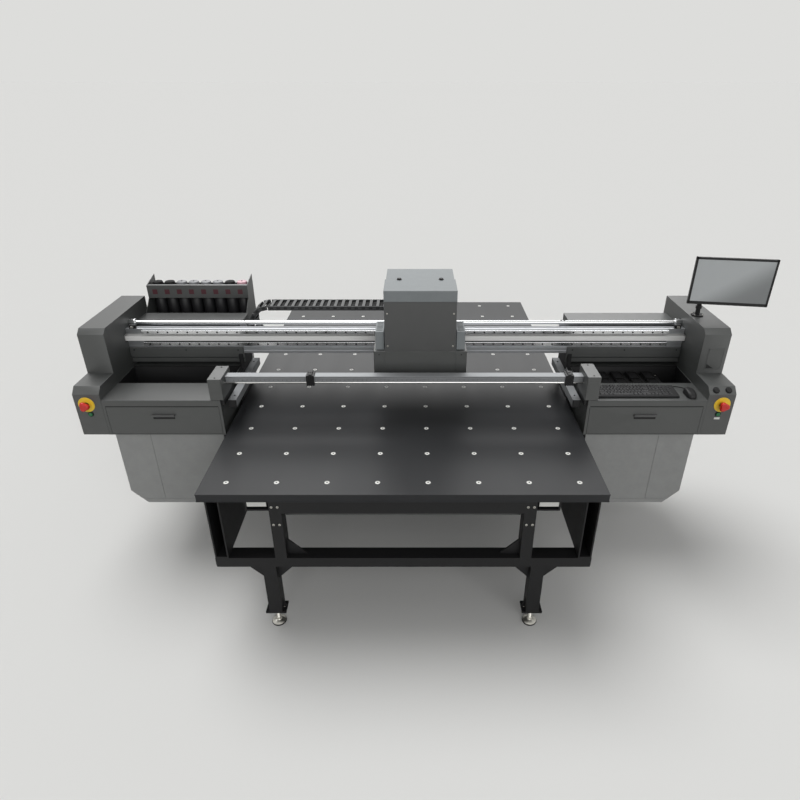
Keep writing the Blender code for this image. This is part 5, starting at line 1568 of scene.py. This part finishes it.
def make_bottles(middle, places):
    """Ribbed bottles on a common tray, with ridged caps and the foot of a tube in each."""
    bottle = [
        (1.2040, 0.0340), (1.2065, 0.0365), (1.2300, 0.0370), (1.2330, 0.0360),
        (1.2360, 0.0370), (1.3800, 0.0370), (1.3830, 0.0360), (1.3860, 0.0370),
        (1.4200, 0.0368), (1.4320, 0.0355), (1.4440, 0.0320), (1.4540, 0.0275), (1.4570, 0.0270),
    ]
    cap = [(1.4560, 0.0315), (1.4570, 0.0330), (1.4870, 0.0322), (1.4915, 0.0300)]
    cap.append((1.4930, 0.0240))
    tube = [(1.4920, 0.0035), (1.4960, 0.0035), (1.4965, 0.0020)]
    ridges, ridge_reach = 24, 0.0326
    cap_finishes = (3, 3, 1, 1, 1, 1, 3, 2)
    mesh = bmesh.new()
    block(mesh, about(middle, 0.323), (0.12, 0.21), (1.1943, 1.2043), 0)
    for x, paint in zip(places, cap_finishes):
        turned(mesh, bottle, (x, BOTTLE_Y, 0), "Z", 32, 0)
        turned(mesh, cap, (x, BOTTLE_Y, 0), "Z", 32, paint)
        for ridge in range(ridges):
            angle = math.tau * ridge / ridges
            out_x, out_y = ridge_reach * math.cos(angle), ridge_reach * math.sin(angle)
            spot = (x + out_x, BOTTLE_Y + out_y, 0)
            turned(mesh, [(1.4590, 0.0009), (1.4850, 0.0007)], spot, "Z", 5, paint)
        turned(mesh, tube, (x, BOTTLE_Y, 0), "Z", 12, 3)
    node, finishes = "ink_bottles", ["bottle", "grey_cap", "pink_cap", "rubber"]
    place(f"{node}_made", mesh, "gantry", finishes, (node,))


# Screen, keyboard and mouse


def make_screen():
    """Bezel in four bars, the panel set back behind it, and a stepped back shell on a bracket."""
    turn = Matrix.Translation(SCREEN_CENTRE) @ Matrix.Rotation(math.radians(SCREEN_TURN), 4, "Z")
    half_x, half_y, half_z = 0.218, 0.014, 0.136
    x, z = (-half_x, half_x), (-half_z, half_z)
    front, edge = (-half_y, 0.0), 0.0115
    mesh = bmesh.new()
    made = block(mesh, x, front, (half_z - edge, half_z), 0)
    made += block(mesh, x, front, (-half_z, -half_z + edge + 0.006), 0)
    for side in (-1, 1):
        made += block(mesh, (side * half_x, side * (half_x - edge)), front, z, 0)
    made += block(mesh, within(x, 0.006), (-half_y + 0.0016, 0.001), within(z, 0.006), 1)
    made += block(mesh, within(x, 0.001), (-0.002, 0.006), within(z, 0.001), 0)
    made += block(mesh, within(x, 0.03), (0.0055, half_y), (-half_z + 0.02, half_z - 0.03), 0)
    made += block(mesh, (-0.05, 0.05), (half_y - 0.001, half_y + 0.0037), (-0.05, 0.05), 2)
    # Vent slots in the back shell, drawn as near-black strips of painted shade
    for n in range(14):
        slot = about(-0.16 + n * 0.0246, 0.008)
        made += block(mesh, slot, (half_y - 0.0005, half_y + 0.0004), (0.072, 0.092), 3)
    bmesh.ops.transform(mesh, matrix=turn, verts=list(set(made)))
    finishes = ["abs", "screen", "frame", "hole"]
    place("monitor_made", mesh, "monitor", finishes, ("monitor",), 0.0012)
    soften("monitor_arm", ["frame"], 0.0015)
    mesh = bmesh.new()
    for side in (-1, 1):
        for dy in (-0.022, 0.022):
            screw(mesh, (POLE_X + side * 0.022, POLE_Y + dy, 1.4403), "Z", 0.0035, 0, 0)
    peg(mesh, (1.475, 1.492), 0.0175, (POLE_X, POLE_Y, 0), "Z", 28, 1)
    place("pole_collar", mesh, "monitor_arm", ["zinc", "abs"], bevel=0.0008)


KEY_GAP, KEY_HEIGHT = 0.0016, 0.0048
KEY_ROWS = (
    # distance from the front row in units, then the widths of the keys, with a gap as a negative
    (0.0, (1.25, 1.25, 1.25, 6.25, 1.25, 1.25, 1.25, 1.25, -0.25, 1, 1, 1, -0.25, 2, 1)),
    (1.0, (2.25, 1, 1, 1, 1, 1, 1, 1, 1, 1, 1, 2.75, -1.25, 1, -1.25, 1, 1, 1)),
    (2.0, (1.75, 1, 1, 1, 1, 1, 1, 1, 1, 1, 1, 1, 2.25, -3.5, 1, 1, 1)),
    (3.0, (1.5, 1, 1, 1, 1, 1, 1, 1, 1, 1, 1, 1, 1, 1.5, -0.25, 1, 1, 1, -0.25, 1, 1, 1)),
    (4.0, (1, 1, 1, 1, 1, 1, 1, 1, 1, 1, 1, 1, 1, 2, -0.25, 1, 1, 1, -0.25, 1, 1, 1, 1)),
    (5.25, (1, -1, 1, 1, 1, 1, -0.5, 1, 1, 1, 1, -0.5, 1, 1, 1, 1, -0.25, 1, 1, 1)),
)


def keycap(mesh, x, y, z, wide, deep, tall, index):
    """A tapered key with a slightly dished top."""
    rings = []
    for height, draw in ((0.0, 0.0), (tall * 0.85, 0.0016), (tall, 0.0024)):
        half_x, half_y = wide / 2 - draw, deep / 2 - draw
        corners = ((-half_x, -half_y), (half_x, -half_y), (half_x, half_y), (-half_x, half_y))
        rings.append([mesh.verts.new((x + dx, y + dy, z + height)) for dx, dy in corners])
    faces = []
    for lower, upper in zip(rings, rings[1:]):
        for n in range(4):
            m = (n + 1) % 4
            faces.append(mesh.faces.new((lower[n], lower[m], upper[m], upper[n])))
    faces.append(mesh.faces.new(rings[0][::-1]))
    top = rings[-1]
    dish = mesh.verts.new((x, y, z + tall - 0.0008))
    for n in range(4):
        faces.append(mesh.faces.new((top[n], top[(n + 1) % 4], dish)))
    for face in faces:
        face.material_index = index


def make_keyboard():
    low, high = machine_box("keyboard")
    mesh = bmesh.new()
    # A case that is thin in front and thicker behind
    case = [
        (low.y, low.z + 0.001), (low.y, low.z + 0.0105), (low.y + 0.004, low.z + 0.0125),
        (high.y - 0.006, high.z - 0.0035), (high.y, high.z - 0.007), (high.y, low.z + 0.001),
    ]
    prism(mesh, case, low.x, high.x, 0, 0)
    for x in (low.x + 0.03, high.x - 0.03):
        block(mesh, about(x, 0.014), (high.y - 0.022, high.y - 0.008), (low.z, low.z + 0.002), 0)
        block(mesh, about(x, 0.014), (low.y + 0.008, low.y + 0.016), (low.z, low.z + 0.002), 0)
    pitch = sizes().key_pitch
    left = (low.x + high.x) / 2 - 22.5 * pitch / 2
    front = low.y + 0.0105
    slope = (high.z - 0.0035 - low.z - 0.0125) / (high.y - low.y - 0.010)
    keys = bmesh.new()
    for row, widths in KEY_ROWS:
        x = left
        y = front + (row * 0.985 + 0.42) * pitch
        z = low.z + 0.0115 + slope * (y - low.y - 0.004)
        for width in widths:
            if width > 0:
                wide, deep = width * pitch - KEY_GAP, pitch * 0.93
                keycap(keys, x + width * pitch / 2, y, z, wide, deep, KEY_HEIGHT, 0)
            x += abs(width) * pitch
    place("keyboard_case", mesh, "gantry", ["abs"], ("keyboard",), 0.0012)
    place("keyboard_keys", keys, "gantry", ["key"], bevel=0.0006)


def make_mouse():
    """A smooth shell with two buttons split by a groove, and a ribbed wheel."""
    low, high = machine_box("mouse")
    centre = (low + high) / 2
    half_x, half_y = (high.x - low.x) / 2, (high.y - low.y) / 2
    foot = low.z + 0.001
    tall = high.z - low.z - 0.001
    around, up = 36, 12
    mesh = bmesh.new()
    rings = []
    for ring in range(up):
        t = ring / (up - 1)
        shrink = math.cos(t * math.pi / 2 * 0.86) ** 0.45
        lift = math.sin(t * math.pi / 2)
        row = []
        for n in range(around):
            angle = math.tau * n / around
            c, s = math.cos(angle), math.sin(angle)
            px = half_x * math.copysign(abs(c) ** 0.78, c) * shrink
            py = half_y * math.copysign(abs(s) ** 0.82, s) * shrink
            waist = 1.0 - 0.07 * math.exp(-((py / half_y) ** 2) * 6)
            crown = 1.0 - 0.26 * ((py / half_y) - 0.10) ** 2 * lift
            groove = 0.0014 if py < -0.01 and abs(px) < 0.0016 and t > 0.5 else 0.0
            row.append(
                mesh.verts.new(
                    (centre.x + px * waist, centre.y + py, foot + tall * lift * crown - groove)
                )
            )
        rings.append(row)
    for lower, upper in zip(rings, rings[1:]):
        for n in range(around):
            m = (n + 1) % around
            mesh.faces.new((lower[n], lower[m], upper[m], upper[n]))
    mesh.faces.new(rings[0][::-1])
    mesh.faces.new(rings[-1])
    wheel_y = centre.y + half_y * 0.42
    wheel = [(-0.0032, 0.0085), (-0.0025, 0.0100), (0.0025, 0.0100), (0.0032, 0.0085)]
    turned(mesh, wheel, (centre.x, wheel_y, high.z - 0.0100), "X", 28, 1)
    # The groove between the buttons is a near-black strip of painted shade
    groove_y, groove_z = (wheel_y + 0.010, high.y - 0.012), (high.z - 0.010, high.z - 0.0022)
    block(mesh, about(centre.x, 0.0007), groove_y, groove_z, 2)
    pad = (low.y + 0.012, high.y - 0.012)
    block(mesh, about(centre.x, 0.018), pad, (low.z, low.z + 0.002), 1)
    place("mouse_made", mesh, "gantry", ["abs", "rubber", "hole"], ("mouse",))


# Operators


def piece_operator(name, label, description, *makers):
    """An operator that runs some of the makers."""

    def execute(self, context):
        for make in makers:
            make()
        return {"FINISHED"}

    members = {
        "__doc__": description,
        "bl_idname": f"printer.make_{name}",
        "bl_label": label,
        "execute": execute,
    }
    return type(f"PRINTER_OT_{name}", (bpy.types.Operator,), members)


OPERATORS = tuple(
    piece_operator(*row)
    for row in (
        ("stage", "Stage", "Make the floor, the lights and the camera", make_stage),
        ("mouse_cord", "Mouse cord", "Make the cord from the mouse to its hole", make_mouse_cord),
        ("bed", "Bed", "Make the bed panel and its suction inserts", make_bed),
        ("base", "Base frame", "Make the end frames, beams, feet and plenum", make_base_frame),
        ("bed_drive", "Bed drive", "Make the belts, rollers and shaft of the bed", make_bed_drive),
        (
            "gantry_frame", "Gantry frame", "Make the gantry's uprights and its lower tie",
            make_gantry_frame,
        ),
        ("beam", "Cross beam", "Make the cross beam with its rails and covers", make_beam),
        (
            "carriage_drive", "Carriage drive", "Make the carriage's belt, pulleys and motor",
            make_carriage_drive,
        ),
        ("rear_rod", "Rear rod", "Make the rod behind the beam and its clamps", make_rear_rod),
        (
            "cabinets", "Cabinets", "Make the side cabinets, their drawers and the lower boxes",
            make_cabinets, make_lower_boxes, make_drawers,
        ),
        ("end_housings", "End housings", "Make the housings and their panels", make_end_housings),
        ("controls", "Controls", "Make the emergency stops and the push buttons", make_controls),
        ("static_bar", "Static bar", "Make the static bar and the side bars", make_static_bar),
        (
            "carriage", "Carriage", "Make the slide plate, skirt, hood, lamps and print heads",
            make_slide_plate, make_skirt, make_hood, make_lamps, make_print_heads,
        ),
        ("chain", "Energy chain", "Make the chain that feeds the carriage", make_chain),
        (
            "capping_station", "Capping station", "Make the caps in the right well",
            make_capping_station,
        ),
        ("ink_supply", "Ink supply", "Make the ink rack and its bottles", make_ink_supply),
        ("screen", "Screen", "Make the screen and its arm", make_screen),
        ("desk", "Keyboard and mouse", "Make the keyboard and mouse", make_keyboard, make_mouse),
    )
)


class PRINTER_PT_panel(bpy.types.Panel):
    """Lists the printer's sizes, colours and pieces"""

    bl_label = "Flatbed UV Printer"
    bl_idname = "PRINTER_PT_panel"
    bl_space_type = "VIEW_3D"
    bl_region_type = "UI"
    bl_category = "Printer"

    def draw(self, context):
        layout = self.layout
        for settings in (context.scene.printer_sizes, context.scene.printer_colours):
            box = layout.box()
            for name in settings.bl_rna.properties.keys():
                if name not in ("rna_type", "name"):
                    box.prop(settings, name)
        for operator in OPERATORS:
            layout.operator(operator.bl_idname)


CLASSES = (PrinterSizes, PrinterColours, *OPERATORS, PRINTER_PT_panel)


def register():
    for added in CLASSES:
        bpy.utils.register_class(added)
    bpy.types.Scene.printer_sizes = PointerProperty(type=PrinterSizes)
    bpy.types.Scene.printer_colours = PointerProperty(type=PrinterColours)


def unregister():
    del bpy.types.Scene.printer_colours
    del bpy.types.Scene.printer_sizes
    for added in reversed(CLASSES):
        bpy.utils.unregister_class(added)


def main():
    register()
    for name in ("Cube", "Light", "Camera"):
        startup = bpy.data.objects.get(name)
        if startup:
            bpy.data.objects.remove(startup)
    for operator in OPERATORS:
        getattr(bpy.ops.printer, operator.bl_idname.split(".")[1])()


if __name__ == "__main__":
    main()
